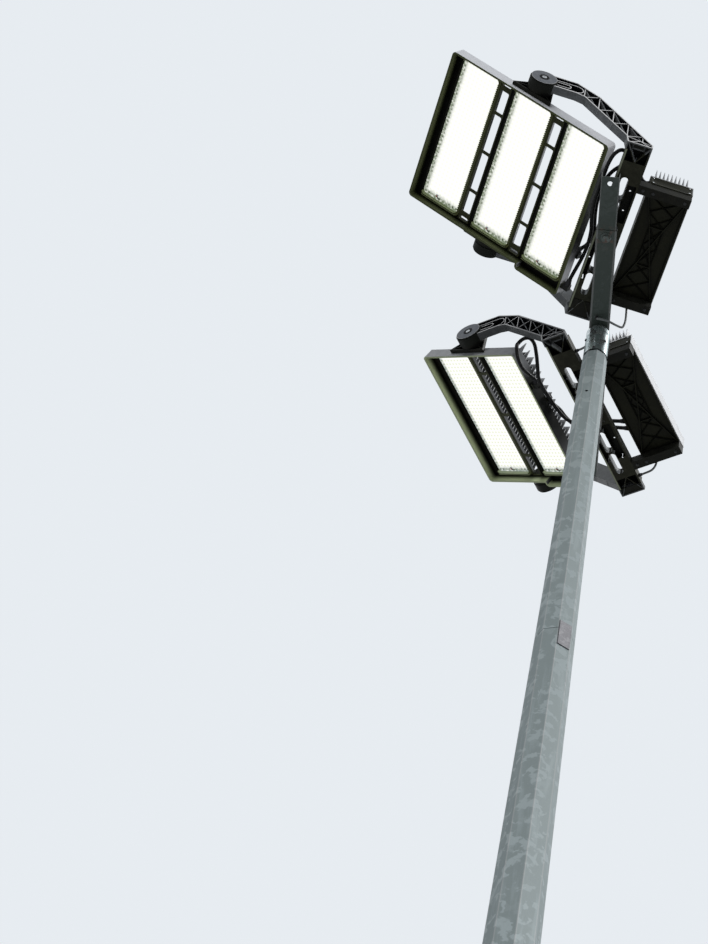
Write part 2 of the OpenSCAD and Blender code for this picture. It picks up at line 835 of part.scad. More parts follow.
// Rungs across the gaps between modules, seated on the frame's floor
module ladders(side, count) {
    rung_l = module_pitch - glass_w - 2 * lip_w - 2 * over;
    half = glass_l / 2;
    inner = count > 2 ? [0, half - rung_inner, rung_inner - half] : [0];
    outer = half - (count > 2 ? rung_outer : far_rung_outer);
    outer_w = count > 2 ? rung_end_w : rung_w;
    color(black_cast)
    lamp_frame(side)
    for (k = [0 : count - 2])
        translate([module_x(count, k) + module_pitch / 2 - rung_l / 2, 0, floor_z - rung_t]) {
            for (u = inner) translate([0, u - rung_w / 2, 0]) cube([rung_l, rung_w, rung_t]);
            for (s = [-1, 1]) translate([0, s * outer - outer_w / 2, 0]) cube([rung_l, outer_w, rung_t]);
        }
}

// A ribbed plate behind each module, with tall and short fins by turns
module heat_sinks(side, count) {
    w = glass_w + 2 * lip_w;
    steps = floor((lip_l - fin_t) / fin_pitch);
    lead = (lip_l - steps * fin_pitch - fin_t) / 2;
    color(cast_grey)
    lamp_frame(side)
    for (k = [0 : count - 1])
        translate([module_x(count, k), -lip_l / 2, -frame_back]) {
            translate([-w / 2, 0, 0]) cube([w, lip_l, fin_base]);
            for (f = [0 : steps])
                translate([0, lead + f * fin_pitch + fin_t, 0]) rotate([90, 0, 0])
                    linear_extrude(fin_t) fin_outline(w, f % 2 == 0);
        }
}

module fin_outline(w, tall) {
    top = (tall ? fin_top_w : fin_low_top_w) / 2;
    h = fin_base + (tall ? fin_h : fin_low_h);
    polygon([[-w / 2, 0], [w / 2, 0], [w / 2, fin_base], [top, h], [-top, h], [-w / 2, fin_base]]);
}

// A wedge on the lamp's end wall, the drum on it, and the pin through the arm's ring.
// At the stepped end the wedge stops short of the step.
function wedge_points(back) = [[-108, -60], [back, -60], [35, 56], [-35, 56]];

module hubs(side, count) {
    running_gap = 1;
    half = frame_l / 2;
    wedge_back = [min(104, step_x(count) - 4), 104];
    color(black_cast)
    lamp_frame(side)
    for (m = [0, 1]) mirror([0, m, 0])
        translate([0, half, 0]) {
            rotate([-90, 0, 0]) cylinder(h = arm_in - half - running_gap, d = drum_d, $fn = 64);
            rotate([-90, 0, 0]) cylinder(h = arm_in + cast_d - half + over, d = pin_d, $fn = 48);
            translate([0, wedge_t, 0]) rotate([90, 0, 0])
                difference() {
                    linear_extrude(wedge_t) polygon(wedge_points(wedge_back[m]));
                    translate([0, 0, -over]) linear_extrude(wedge_t - wedge_rim + over)
                        difference() {
                            polygon(drawn_in(wedge_points(wedge_back[m]), wedge_rim));
                            for (k = [0, 1]) rib(wedge_points(wedge_back[m])[k], [0, 0]);
                        }
                }
        }
}

// A round cable swept along the points of its route
function dirs(p) = [for (i = [0 : len(p) - 1])
    let (d = p[min(i + 1, len(p) - 1)] - p[max(i - 1, 0)]) d / norm(d)];
// One sideways direction for each ring, carried along the route so that the tube doesn't twist
function sideways(t, i, last) = i == len(t) ? [] :
    let (s = unit(last - (last * t[i]) * t[i])) concat([s], sideways(t, i + 1, s));

module cable(route, d, sides = 8) {
    t = dirs(route);
    n = len(route);
    across = sideways(t, 0, unit(cross(t[0], [0.1, 0.3, 1])));
    rings = [for (i = [0 : n - 1])
        let (a = across[i], b = cross(t[i], a))
        for (k = [0 : sides - 1])
            route[i] + d / 2 * (a * cos(360 * k / sides) + b * sin(360 * k / sides))];
    faces = concat(
        [[for (k = [0 : sides - 1]) k]],
        [for (i = [0 : n - 2], k = [0 : sides - 1])
            [i * sides + (k + 1) % sides, i * sides + k,
             (i + 1) * sides + k, (i + 1) * sides + (k + 1) % sides]],
        [[for (k = [sides - 1 : -1 : 0]) (n - 1) * sides + k]]);
    polyhedron(points = rings, faces = faces, convexity = 4);
}

// Routes of the lamp cables and the conduits, in the bracket's own frame
near_cable_a = [[105.7, -236, 84], [88, -236, 84], [64, -258, 85], [32, -310, 80], [-14, -350, 70],
    [-54, -366, 58], [-80, -346, 42], [-92, -302, 28], [-94, -250, 21], [-94, -190, 23], [-94, -120, 24],
    [-86, -60, 34], [-73, 0, 58], [-60, 50, 78], [-53, 100, 90], [-51, 150, 93], [-56, 200, 84],
    [-66, 245, 66], [-75, 290, 53], [-77, 312, 50], [-77, 329.7, 50]];
near_cable_b = [[105.7, -206, 100], [88, -206, 100], [64, -234, 99], [38, -276, 92], [0, -302, 76],
    [-31, -294, 62], [-58, -264, 56], [-74, -232, 48], [-82, -190, 43], [-82, -125, 44], [-74, -62, 54],
    [-61, -2, 78], [-48, 50, 100], [-42, 100, 111], [-54, 146, 114], [-78, 174, 103], [-78, 189.7, 103]];
far_cable_a = [[105.7, 120, 90], [90, 120, 90], [18, 112, 124], [-40, 108, 144], [-96, 104, 160],
    [-140, 90, 168], [-168, 54, 166], [-179, 8, 159], [-185, -42, 154], [-188, -92, 148],
    [-188, -140, 134], [-183, -178, 118], [-176, -224, 110], [-158, -274, 118], [-143, -322, 136],
    [-136, -364, 158], [-150, -388, 180], [-180, -392, 188], [-207, -389, 166], [-210, -388, 132],
    [-218, -352, 104], [-220, -304, 98], [-213, -262, 108], [-205, -212, 132], [-205, -190.3, 132]];
far_cable_b = [[105.7, 160, 90], [90, 160, 90], [-6, 152, 148], [-66, 146, 168], [-120, 134, 184],
    [-156, 102, 188], [-172, 54, 184], [-180, 6, 182], [-196, -34, 181], [-205, -52, 181],
    [-205, -61.7, 181]];
// The conduits leave the box's end wall
box_end = box_shift + box_l / 2 + 0.3;
near_conduit_route = [[200, box_end, 80], [200, box_end + 16, 80], [205, 366, 64], [209, 378, 34],
    [210, 382, 0], [208, 386, -34], [200, 392, -58], [172, 384, -70], [140, 374, -77], [112, 372, -78],
    [92, 377, -73], [83, 384, -62], [83, 384, -50.3]];
far_conduit_route = [[160, box_end, 82], [160, box_end + 14, 82], [150, 360, 44], [125, 372, 26],
    [84, 374, 22], [62.3, 374, 22]];
far_feed_route = [[62.3, -325, 25], [82, -325, 25], [104, -328, 24], [124, -335, 18], [142, -342, 8],
    [156, -348, -6], [164, -351, -20], [165, -352, -32], [165, -352, -45.7]];
cable_d = 18;
conduit_d = 10;

module lamp_cables(side) {
    color(cable_black)
    bracket_frame(side)
    for (route = side < 0 ? [near_cable_a, near_cable_b] : [far_cable_a, far_cable_b])
        cable(route, cable_d);
}

module conduit(side, route) {
    color(dark_steel)
    bracket_frame(side) cable(route, conduit_d);
}

base_plate();
pole_lower();
service_door();
pole_upper();
joint_patch();
head_sleeve();
crossarm_main();
crossarm_extensions();
swivel_bolts();
bar(-1);  // near_bar
cast_arm(-1, -1);  // near_arm_front
cast_arm(-1, 1);  // near_arm_rear
hub_caps(-1);  // near_hub_caps
driver_mounts(-1);  // near_driver_mounts
driver_housing(-1);  // near_driver_housing
driver_fins(-1);  // near_driver_fins
lamp_cables(-1);  // near_cables
conduit(-1, near_conduit_route);  // near_conduit
frame(-1, 3);  // near_frame
hubs(-1, 3);  // near_hubs
led_panels(-1, 3);  // near_led_panels
ladders(-1, 3);  // near_ladders
heat_sinks(-1, 3);  // near_heat_sinks
bar(1);  // far_bar
cast_arm(1, -1);  // far_arm_front
cast_arm(1, 1);  // far_arm_rear
hub_caps(1);  // far_hub_caps
driver_mounts(1);  // far_driver_mounts
driver_housing(1);  // far_driver_housing
driver_fins(1);  // far_driver_fins
lamp_cables(1);  // far_cables
conduit(1, far_conduit_route);  // far_conduit
conduit(1, far_feed_route);  // far_feed
frame(1, 2);  // far_frame
hubs(1, 2);  // far_hubs
led_panels(1, 2);  // far_led_panels
ladders(1, 2);  // far_ladders
heat_sinks(1, 2);  // far_heat_sinks
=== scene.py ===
import json
import math

import bmesh
import bpy
from mathutils import Euler, Matrix, Vector


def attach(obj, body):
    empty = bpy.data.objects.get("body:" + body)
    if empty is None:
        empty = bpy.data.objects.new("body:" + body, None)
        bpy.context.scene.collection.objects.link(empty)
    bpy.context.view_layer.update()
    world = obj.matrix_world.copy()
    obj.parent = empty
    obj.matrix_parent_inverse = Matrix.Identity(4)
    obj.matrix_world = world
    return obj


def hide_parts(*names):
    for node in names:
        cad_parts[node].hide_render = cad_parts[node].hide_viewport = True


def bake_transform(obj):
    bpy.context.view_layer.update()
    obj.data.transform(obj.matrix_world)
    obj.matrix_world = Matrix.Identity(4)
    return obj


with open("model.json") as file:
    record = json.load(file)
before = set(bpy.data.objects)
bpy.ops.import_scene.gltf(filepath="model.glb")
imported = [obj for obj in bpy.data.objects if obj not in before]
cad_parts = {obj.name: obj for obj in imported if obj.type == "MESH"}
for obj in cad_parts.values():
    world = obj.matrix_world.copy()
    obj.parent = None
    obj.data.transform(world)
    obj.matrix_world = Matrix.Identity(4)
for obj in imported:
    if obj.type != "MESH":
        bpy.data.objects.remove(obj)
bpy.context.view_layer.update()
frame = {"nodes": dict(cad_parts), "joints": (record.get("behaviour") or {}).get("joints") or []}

nodes = frame["nodes"]
joints = {joint["name"]: joint for joint in frame["joints"]}
SIDES = ("near", "far")
MM = 0.001

# The camera is at a person's eye height above the ground, a few metres from the shaft's foot.
# It looks steeply up at the head of the column, slightly tilted.
camera_place = (0.3389, -6.018, 1.6)
camera_pitch = 56.64
camera_heading = 11.59
camera_roll = 15.11
focal_px = 2772.5
photo_h_px = 944

bpy.context.scene.view_settings.view_transform = "Standard"
camera_data = bpy.data.cameras.new("camera")
camera_data.sensor_width = 36
camera_data.lens = focal_px / photo_h_px * camera_data.sensor_width
camera_data.clip_start, camera_data.clip_end = 0.1, 200
camera = bpy.data.objects.new("camera", camera_data)
camera.location = camera_place
turned = Euler((math.radians(90 + camera_pitch), 0, math.radians(camera_heading)), "XYZ").to_matrix()
camera.rotation_euler = (turned @ Matrix.Rotation(math.radians(camera_roll), 3, "Z")).to_euler()
bpy.context.scene.collection.objects.link(camera)
bpy.context.scene.camera = camera

# Corrugated rubber cables loop from each driver box over the slotted bar to the back of its lamp,
# with slack for the tilt, and thin grey conduits join the boxes to the head. Glands hold their ends.
# Each is swept along the route that the column's source has, in mm in its bracket's own frame.
cable_d = 18
cable_sides = 12
conduit_d = 10
conduit_sides = 16
steps_between_points = 6
corrugation = 7.0
corrugation_depth = 0.8
ridge_rings = (0, 0, 1, 1)
boot_l = 34
boot_step = 3
routes = {
    ("near", "cable_a"): [
        (105.7, -236, 84), (88, -236, 84), (64, -258, 85), (32, -310, 80), (-14, -350, 70),
        (-54, -366, 58), (-80, -346, 42), (-92, -302, 28), (-94, -250, 21), (-94, -190, 23),
        (-94, -120, 24), (-86, -60, 34), (-73, 0, 58), (-60, 50, 78), (-53, 100, 90),
        (-51, 150, 93), (-56, 200, 84), (-66, 245, 66), (-75, 290, 53), (-77, 312, 50),
        (-77, 329.7, 50)],
    ("near", "cable_b"): [
        (105.7, -206, 100), (88, -206, 100), (64, -234, 99), (38, -276, 92), (0, -302, 76),
        (-31, -294, 62), (-58, -264, 56), (-74, -232, 48), (-82, -190, 43), (-82, -125, 44),
        (-74, -62, 54), (-61, -2, 78), (-48, 50, 100), (-42, 100, 111), (-54, 146, 114),
        (-78, 174, 103), (-78, 189.7, 103)],
    ("near", "conduit"): [
        (200, 329.3, 80), (200, 345.3, 80), (205, 366, 64), (209, 378, 34), (210, 382, 0),
        (208, 386, -34), (200, 392, -58), (172, 384, -70), (140, 374, -77), (112, 372, -78),
        (92, 377, -73), (83, 384, -62), (83, 384, -50.3)],
    ("far", "cable_a"): [
        (105.7, 120, 90), (90, 120, 90), (18, 112, 124), (-40, 108, 144), (-96, 104, 160),
        (-140, 90, 168), (-168, 54, 166), (-179, 8, 159), (-185, -42, 154), (-188, -92, 148),
        (-188, -140, 134), (-183, -178, 118), (-176, -224, 110), (-158, -274, 118),
        (-143, -322, 136), (-136, -364, 158), (-150, -388, 180), (-180, -392, 188),
        (-207, -389, 166), (-210, -388, 132), (-218, -352, 104), (-220, -304, 98),
        (-213, -262, 108), (-205, -212, 132), (-205, -190.3, 132)],
    ("far", "cable_b"): [
        (105.7, 160, 90), (90, 160, 90), (-6, 152, 148), (-66, 146, 168), (-120, 134, 184),
        (-156, 102, 188), (-172, 54, 184), (-180, 6, 182), (-196, -34, 181), (-205, -52, 181),
        (-205, -61.7, 181)],
    ("far", "conduit"): [
        (160, 329.3, 82), (160, 343.3, 82), (150, 360, 44), (125, 372, 26), (84, 374, 22),
        (62.3, 374, 22)],
    ("far", "feed"): [
        (62.3, -325, 25), (82, -325, 25), (104, -328, 24), (124, -335, 18), (142, -342, 8),
        (156, -348, -6), (164, -351, -20), (165, -352, -32), (165, -352, -45.7)],
}


def framed(axes, place):
    """A frame in mm at a place, from its three axes."""
    placed = Matrix(axes).transposed().to_4x4()
    placed.translation = place
    return placed @ Matrix.Scale(MM, 4)


def bracket_frame(side):
    """From mm in a bracket's own frame to the row's frame: origin on the swivel axis at the bar's
    underside, lamp towards -X, bar along Y."""
    along = Vector(joints[side + "_tilt"]["axis"]).normalized()
    up = Vector((0, 0, 1))
    return framed((along.cross(up), along, up), joints[side + "_swivel"]["pos_m"])


def aimed(place, direction):
    """A frame in mm at a place, with Z in a direction."""
    turned = Vector(direction).to_track_quat("Z", "Y").to_matrix().to_4x4()
    return Matrix.Translation(place) @ turned @ Matrix.Scale(MM, 4)


def smooth_route(points, steps):
    """Points along a curve that passes through each route point."""
    made = []
    last = len(points) - 1
    for i in range(last):
        a, b, c, d = (points[min(max(k, 0), last)] for k in (i - 1, i, i + 1, i + 2))
        for step in range(steps):
            t = step / steps
            made.append(0.5 * (2 * b + (c - a) * t + (2 * a - 5 * b + 4 * c - d) * t * t
                               + (3 * b - a - 3 * c + d) * t ** 3))
    made.append(points[last])
    return made


def evenly(path, gap):
    """The same path with its points about one gap apart."""
    lengths = [0.0]
    for a, b in zip(path, path[1:]):
        lengths.append(lengths[-1] + (b - a).length)
    count = round(lengths[-1] / gap)
    made = []
    k = 0
    for i in range(count + 1):
        at = lengths[-1] * i / count
        while k < len(path) - 2 and lengths[k + 1] < at:
            k += 1
        made.append(path[k].lerp(path[k + 1], (at - lengths[k]) / (lengths[k + 1] - lengths[k])))
    return made


def new_piece(name, bm, materials, crease=35):
    """A mesh object from a bmesh, smooth across edges flatter than the crease angle."""
    bmesh.ops.recalc_face_normals(bm, faces=bm.faces)
    for face in bm.faces:
        face.smooth = True
    for edge in bm.edges:
        edge.smooth = edge.is_manifold and edge.calc_face_angle(0) < math.radians(crease)
    mesh = bpy.data.meshes.new(name)
    bm.to_mesh(mesh)
    bm.free()
    piece = bpy.data.objects.new(name, mesh)
    bpy.context.scene.collection.objects.link(piece)
    for material in materials:
        mesh.materials.append(material)
    return piece


def carried(name, bm, materials, body, stands_for=None, crease=35):
    """A new piece with its materials that rides on a body, in place of a node where one is given."""
    piece = new_piece(name, bm, materials, crease)
    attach(piece, body)
    if stands_for:
        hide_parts(stands_for)


def skin(bm, rings, finish=0, ends=True):
    """Faces between rings of equally many points, closed at both ends."""
    made = []
    for one, two in zip(rings, rings[1:]):
        count = len(one)
        for k in range(count):
            made.append(bm.faces.new((one[k], one[(k + 1) % count], two[(k + 1) % count], two[k])))
    if ends:
        made += [bm.faces.new(rings[0][::-1]), bm.faces.new(rings[-1])]
    for face in made:
        face.material_index = finish
    return made


def circle(sides, start=0.0):
    """The cosine and sine of evenly spaced turns."""
    turns = (start + 2 * math.pi * k / sides for k in range(sides))
    return [(math.cos(t), math.sin(t)) for t in turns]


def sweep(bm, path, radii, sides, finish=0):
    """A closed tube along a path, with one radius for each of its points."""
    rings = []
    across = None
    last = len(path) - 1
    for i, (point, r) in enumerate(zip(path, radii)):
        ahead = (path[min(i + 1, last)] - path[max(i - 1, 0)]).normalized()
        across = across or ahead.orthogonal()
        across = (across - ahead * across.dot(ahead)).normalized()
        beside = ahead.cross(across)
        rings.append([bm.verts.new(point + r * (across * c + beside * s)) for c, s in circle(sides)])
    skin(bm, rings, finish)


def stack(bm, steps, placed, looped=False):
    """A solid through flat outlines at heights in a frame in mm. Looped, it closes on itself."""
    rings = [[bm.verts.new(placed @ Vector((x, y, h))) for x, y in outline] for outline, h in steps]
    return skin(bm, rings + rings[:1] if looped else rings, ends=not looped)


def turn(bm, profile, sides, placed, start=0.0):
    """A solid turned about Z from (radius, height) steps, placed by a matrix. 6 sides make a nut."""
    stack(bm, [([(r * c, r * s) for c, s in circle(sides, start)], h) for r, h in profile], placed)


def cable_gland(bm, place, direction, r):
    """A hexagonal gland with a domed nut, for a cable of radius r in mm."""
    placed = aimed(place, direction)
    turn(bm, [(r * 1.7, -0.3), (r * 1.78, 0.5), (r * 1.78, 4.6), (r * 1.62, 5.6)], 6, placed)
    turn(bm, [(r * 1.46, 5.2), (r * 1.46, 10), (r * 1.36, 13), (r * 1.12, 15.4)], 24, placed)


def new_material(name):
    """A material, its node tree and its Principled BSDF."""
    material = bpy.data.materials.new(name)
    material.use_nodes = True
    return material, material.node_tree, material.node_tree.nodes["Principled BSDF"]


def feed(tree, node, **inputs):
    """Sets a node's inputs to values or links them to output sockets, by the input's name with _
    for a space, or by i and its number."""
    for key, value in inputs.items():
        numbered = key[0] == "i" and key[1:].isdigit()
        socket = node.inputs[int(key[1:]) if numbered else key.replace("_", " ")]
        if isinstance(value, bpy.types.NodeSocket):
            tree.links.new(value, socket)
        else:
            socket.default_value = value
    return node


def add(tree, kind, settings=(), **inputs):
    """Adds a node with its settings and its inputs."""
    made = tree.nodes.new(kind)
    for key, value in dict(settings).items():
        setattr(made, key, value)
    return feed(tree, made, **inputs)


def noise(tree, place, scale, detail=2.0, roughness=0.5):
    """The outputs of a Noise Texture node."""
    return add(tree, "ShaderNodeTexNoise", Vector=place, Scale=scale, Detail=detail,
               Roughness=roughness).outputs


def step_up(tree, value, low, high):
    """A smooth step from 0 at low to 1 at high. With low above high it steps down."""
    return add(tree, "ShaderNodeMapRange", {"interpolation_type": "SMOOTHSTEP"}, Value=value,
               From_Min=low, From_Max=high).outputs[0]


def grey(value):
    return (value, value, value)


def fade(tree, value, low, high, start=0.0, end=1.0):
    """A straight ramp from one grey at start to another at end."""
    made = add(tree, "ShaderNodeValToRGB", Fac=value)
    for element, position, tone in zip(made.color_ramp.elements, (start, end), (low, high)):
        element.position = position
        element.color = (*grey(tone), 1)
    return made.outputs["Color"]


def mix(tree, factor, a, b, blend="MIX"):
    """Mixes two colours."""
    a, b = (value if isinstance(value, bpy.types.NodeSocket) else (*value, 1) for value in (a, b))
    return add(tree, "ShaderNodeMix", {"data_type": "RGBA", "blend_type": blend},
               i0=factor, i6=a, i7=b).outputs[2]


def object_place(tree):
    """Object coordinates, which every piece shares with the row's frame at rest."""
    return add(tree, "ShaderNodeTexCoord").outputs["Object"]


def effect_group(name, inputs, outputs):
    """An empty node group with number inputs and outputs, its input sockets and its output node."""
    made = bpy.data.node_groups.new(name, "ShaderNodeTree")
    for label, value in inputs.items():
        socket = made.interface.new_socket(label, in_out="INPUT", socket_type="NodeSocketFloat")
        socket.default_value = value
    for label in outputs:
        made.interface.new_socket(label, in_out="OUTPUT", socket_type="NodeSocketFloat")
    return made, add(made, "NodeGroupInput").outputs, add(made, "NodeGroupOutput")


# Broad stains and a fine grit, used on every moulded, cast and painted surface
moulded_skin, given, out = effect_group(
    "moulded skin", {"Stain Size": 18.0, "Grit Size": 700.0}, ("Stain", "Grit"))
place = object_place(moulded_skin)
stain = noise(moulded_skin, place, given["Stain Size"], 6.0, 0.62)["Fac"]
feed(moulded_skin, out, Stain=step_up(moulded_skin, stain, 0.32, 0.7),
     Grit=noise(moulded_skin, place, given["Grit Size"])["Fac"])


def coated(name, stain_size, grit_size, rough, rougher, gloss, relief):
    """A material with the moulded skin in its bump, rougher where it is stained, its tree, its
    surface and the mask of its stains."""
    material, tree, surface = new_material(name)
    coat = add(tree, "ShaderNodeGroup", {"node_tree": moulded_skin}, Stain_Size=stain_size,
               Grit_Size=grit_size).outputs
    bump = add(tree, "ShaderNodeBump", Height=coat["Grit"], Strength=relief, Distance=0.0006)
    feed(tree, surface, Roughness=fade(tree, coat["Stain"], rough, rougher), Specular_IOR_Level=gloss,
         Normal=bump.outputs["Normal"])
    return material, tree, surface, coat["Stain"]


def moulded_material(name, clean, dusty, rough, stain_size, gloss=0.2):
    """A moulded or painted surface between a clean and a dusty colour."""
    material, tree, surface, stained = coated(name, stain_size, 700.0, rough, rough + 0.16, gloss, 0.15)
    feed(tree, surface, Base_Color=mix(tree, stained, clean, dusty))
    return material


rubber = moulded_material("cable_rubber", grey(0.004), (0.014, 0.014, 0.013), 0.42, 60.0, 0.12)
thin_sheath = moulded_material("conduit_sheath", (0.15, 0.16, 0.158), (0.27, 0.285, 0.285), 0.42, 60.0)
gland_plastic = moulded_material("gland_plastic", (0.008, 0.008, 0.009), (0.03, 0.03, 0.032), 0.45, 90.0)

for (side, name), points in routes.items():
    bracket = bracket_frame(side)
    holder = side + "_bracket"
    path = smooth_route([bracket @ Vector(p) for p in points], steps_between_points)
    thick = name.startswith("cable")
    r = (cable_d if thick else conduit_d) / 2
    bm = bmesh.new()
    if thick:
        fine = evenly(path, corrugation * MM / len(ridge_rings))
        grooves = [corrugation_depth * ridge_rings[k % len(ridge_rings)] for k in range(len(fine))]
        sweep(bm, fine, [(r - groove) * MM for groove in grooves], cable_sides)
        piece = new_piece(f"{side}_{name}", bm, [rubber], crease=60)
        node, end_body = side + "_cables", side + "_lamp"
    else:
        sweep(bm, path, [r * MM] * len(path), conduit_sides)
        piece = new_piece(f"{side}_{name}_hose", bm, [thin_sheath], crease=60)
        node = "far_feed" if name == "feed" else side + "_conduit"
        end_body = "column" if name == "feed" or side == "near" else holder
    if end_body == holder:
        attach(piece, holder)
    else:
        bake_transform(piece)
    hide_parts(node)
    for end, body, line in (("start", holder, path), ("end", end_body, path[::-1])):
        bm = bmesh.new()
        cable_gland(bm, line[0], line[1] - line[0], r)
        if thick:
            boot = evenly(line, boot_step * MM)[4:boot_l // boot_step]
            sweep(bm, boot, [(r * 1.32 - 2.4 * k / len(boot)) * MM for k in range(len(boot))], 16)
        carried(f"{side}_{name}_gland_{end}", bm, [gland_plastic], body)

# The shaft is folded steel plate in two lengths, hot-dip galvanised and weathered: sharp-edged zinc
# blooms of two greys, slanting run lines from the bath, a painted highlight along the corners and a
# fine grain.
zinc_dark = (0.18, 0.22, 0.222)
zinc_pale = (0.245, 0.293, 0.3)
shaft_corner_turn = 8.0
shaft_top_z = 12000
shaft_top_r = 53
shaft_growth = 0.0105


def calc(tree, kind, a, b=0.0, c=0.0):
    """The result of a Math node."""
    return add(tree, "ShaderNodeMath", {"operation": kind}, i0=a, i1=b, i2=c).outputs[0]


def product(tree, first, *others):
    """Values multiplied together."""
    for value in others:
        first = calc(tree, "MULTIPLY", first, value)
    return first


def vector_calc(tree, kind, *values, **inputs):
    """The outputs of a Vector Math node: first its vector, then its number."""
    numbered = {f"i{k}": value for k, value in enumerate(values)}
    return add(tree, "ShaderNodeVectorMath", {"operation": kind}, **numbered, **inputs).outputs


zinc_bloom, given, out = effect_group(
    "zinc bloom", {"Size": 16.0, "Run Angle": 0.5}, ("Bloom", "Run", "Grain"))
tree = zinc_bloom
place = object_place(tree)
wander = noise(tree, place, given["Size"], 3.0, 0.55)["Color"]
swirl = vector_calc(tree, "SCALE", wander, Scale=0.06)[0]
bent = vector_calc(tree, "ADD", place, swirl)[0]
cells = add(tree, "ShaderNodeTexVoronoi", Vector=bent, Scale=given["Size"])
cell_tone = add(tree, "ShaderNodeSeparateColor", Color=cells.outputs["Color"]).outputs[0]
clouds = noise(tree, bent, given["Size"])["Fac"]
slant = add(tree, "ShaderNodeVectorRotate", {"rotation_type": "Z_AXIS"}, Vector=place,
            Angle=given["Run Angle"])
stretch = add(tree, "ShaderNodeMapping", Vector=slant.outputs[0], Scale=(34.0, 34.0, 3.2),
              Rotation=(0.5, 0.45, 0.0))
run = noise(tree, stretch.outputs[0], 1.0, 4.0, 0.6)["Fac"]
feed(tree, out, Run=step_up(tree, run, 0.5, 0.68), Grain=noise(tree, place, 420.0, 3.0)["Fac"],
     Bloom=product(tree, step_up(tree, clouds, 0.46, 0.54), step_up(tree, cell_tone, 0.42, 0.6)))


def zinc_material(name, dark, pale, size, run_tone, metallic, rough, corner=None, rust=None, shade_mask=None):
    """Galvanised steel: blooms between two tones, run lines and a fine grain. The three mask functions
    lay a painted highlight on edges, a brown stain and a painted black shade."""
    material, tree, surface = new_material(name)
    coat = add(tree, "ShaderNodeGroup", {"node_tree": zinc_bloom}, Size=size).outputs
    tone = mix(tree, coat["Bloom"], dark, pale)
    tone = mix(tree, coat["Run"], tone, mix(tree, run_tone, tone, pale))
    # A painted highlight, paler towards grey, where the corner mask is 1
    if corner:
        tone = mix(tree, corner(tree), tone, mix(tree, 0.4, tone, grey(0.4)))
    if rust:
        tone = mix(tree, product(tree, rust(tree), coat["Run"]), tone, (0.1, 0.062, 0.045))
    # Painted black shade where the shade mask is 1
    if shade_mask:
        tone = mix(tree, shade_mask(tree), tone, grey(0.004))
    speck = fade(tree, coat["Grain"], 0.88, 1.0, 0.3, 0.7)
    bump = add(tree, "ShaderNodeBump", Height=coat["Grain"], Strength=0.12, Distance=0.001)
    feed(tree, surface, Base_Color=mix(tree, 1.0, tone, speck, "MULTIPLY"), Metallic=metallic,
         Roughness=fade(tree, coat["Bloom"], rough + 0.08, rough - 0.06), Normal=bump.outputs["Normal"])
    return material


def dress(node, material):
    """Gives a carried-over solid its finish."""
    mesh = nodes[node].data
    mesh.materials.clear()
    mesh.materials.append(material)


def place_parts(tree):
    """The surface's X, Y and Z in the row's frame."""
    return add(tree, "ShaderNodeSeparateXYZ", Vector=object_place(tree)).outputs


def shaft_corners(tree):
    """1 along the shaft's eight folded corners, by the angle about its axis, where a highlight is painted.
    """
    x, y = place_parts(tree)[:2]
    angle = calc(tree, "ARCTAN2", y, x)
    eighths = calc(tree, "MULTIPLY_ADD", angle, 4 / math.pi, 8.5 - shaft_corner_turn / 45)
    off = calc(tree, "ABSOLUTE", calc(tree, "SUBTRACT", calc(tree, "FRACT", eighths), 0.5))
    return step_up(tree, off, 0.07, 0.0)


def shaft_r(z):
    """The shaft's radius at its corners, at a height in mm."""
    return shaft_top_r + (shaft_top_z - z) * shaft_growth


def shaft_ring(bm, z, grow):
    """The shaft's octagon at a height, grown by some mm."""
    r = shaft_r(z) + grow
    corners = circle(8, math.radians(shaft_corner_turn))
    return [bm.verts.new(Vector((r * c, r * s, z)) * MM) for c, s in corners]


def on_shaft(flat, z):
    """A frame in mm on one of the shaft's flats, with Z out of the flat and Y up."""
    angle = math.radians(shaft_corner_turn + 22.5 + 45 * flat)
    up, outwards = Vector((0, 0, 1)), Vector((math.cos(angle), math.sin(angle), 0))
    place = (outwards * shaft_r(z) * math.cos(math.pi / 8) + up * z) * MM
    return framed((up.cross(outwards), up, outwards), place)


shaft_zinc = zinc_material("shaft_zinc", zinc_dark, zinc_pale, 23.0, 0.6, 0.2, 0.48, shaft_corners)
plate_zinc = zinc_material("plate_zinc", zinc_dark, zinc_pale, 22.0, 0.5, 0.25, 0.52)
patch_zinc = zinc_material("patch_zinc", (0.21, 0.207, 0.222), (0.29, 0.285, 0.302), 60.0, 0.3, 0.1, 0.6)
nut_zinc = zinc_material("nut_zinc", (0.22, 0.235, 0.24), (0.4, 0.42, 0.43), 60.0, 0.4, 0.6, 0.42)
for node, material in (("pole_lower", shaft_zinc), ("pole_upper", shaft_zinc), ("base_plate", plate_zinc),
                       ("service_door", plate_zinc), ("joint_patch", patch_zinc)):
    dress(node, material)

# The anchor plate is welded round the shaft's foot and held by four galvanised nuts on threaded
# studs, each over a thick washer.
anchor_pitch = 420
plate_top = 25
stud_r = 15
thread_depth = 1.2
thread_half_pitch = 1.75
thread_rings = 42
weld_leg = 9
weld_steps = ((0, -2), (0, weld_leg), (weld_leg * 0.45, weld_leg * 0.62), (weld_leg, 0.4), (weld_leg, -2))

bm = bmesh.new()
skin(bm, [shaft_ring(bm, plate_top + rise, grow) for rise, grow in weld_steps])
carried("foot_weld", bm, [plate_zinc], "column", crease=60)

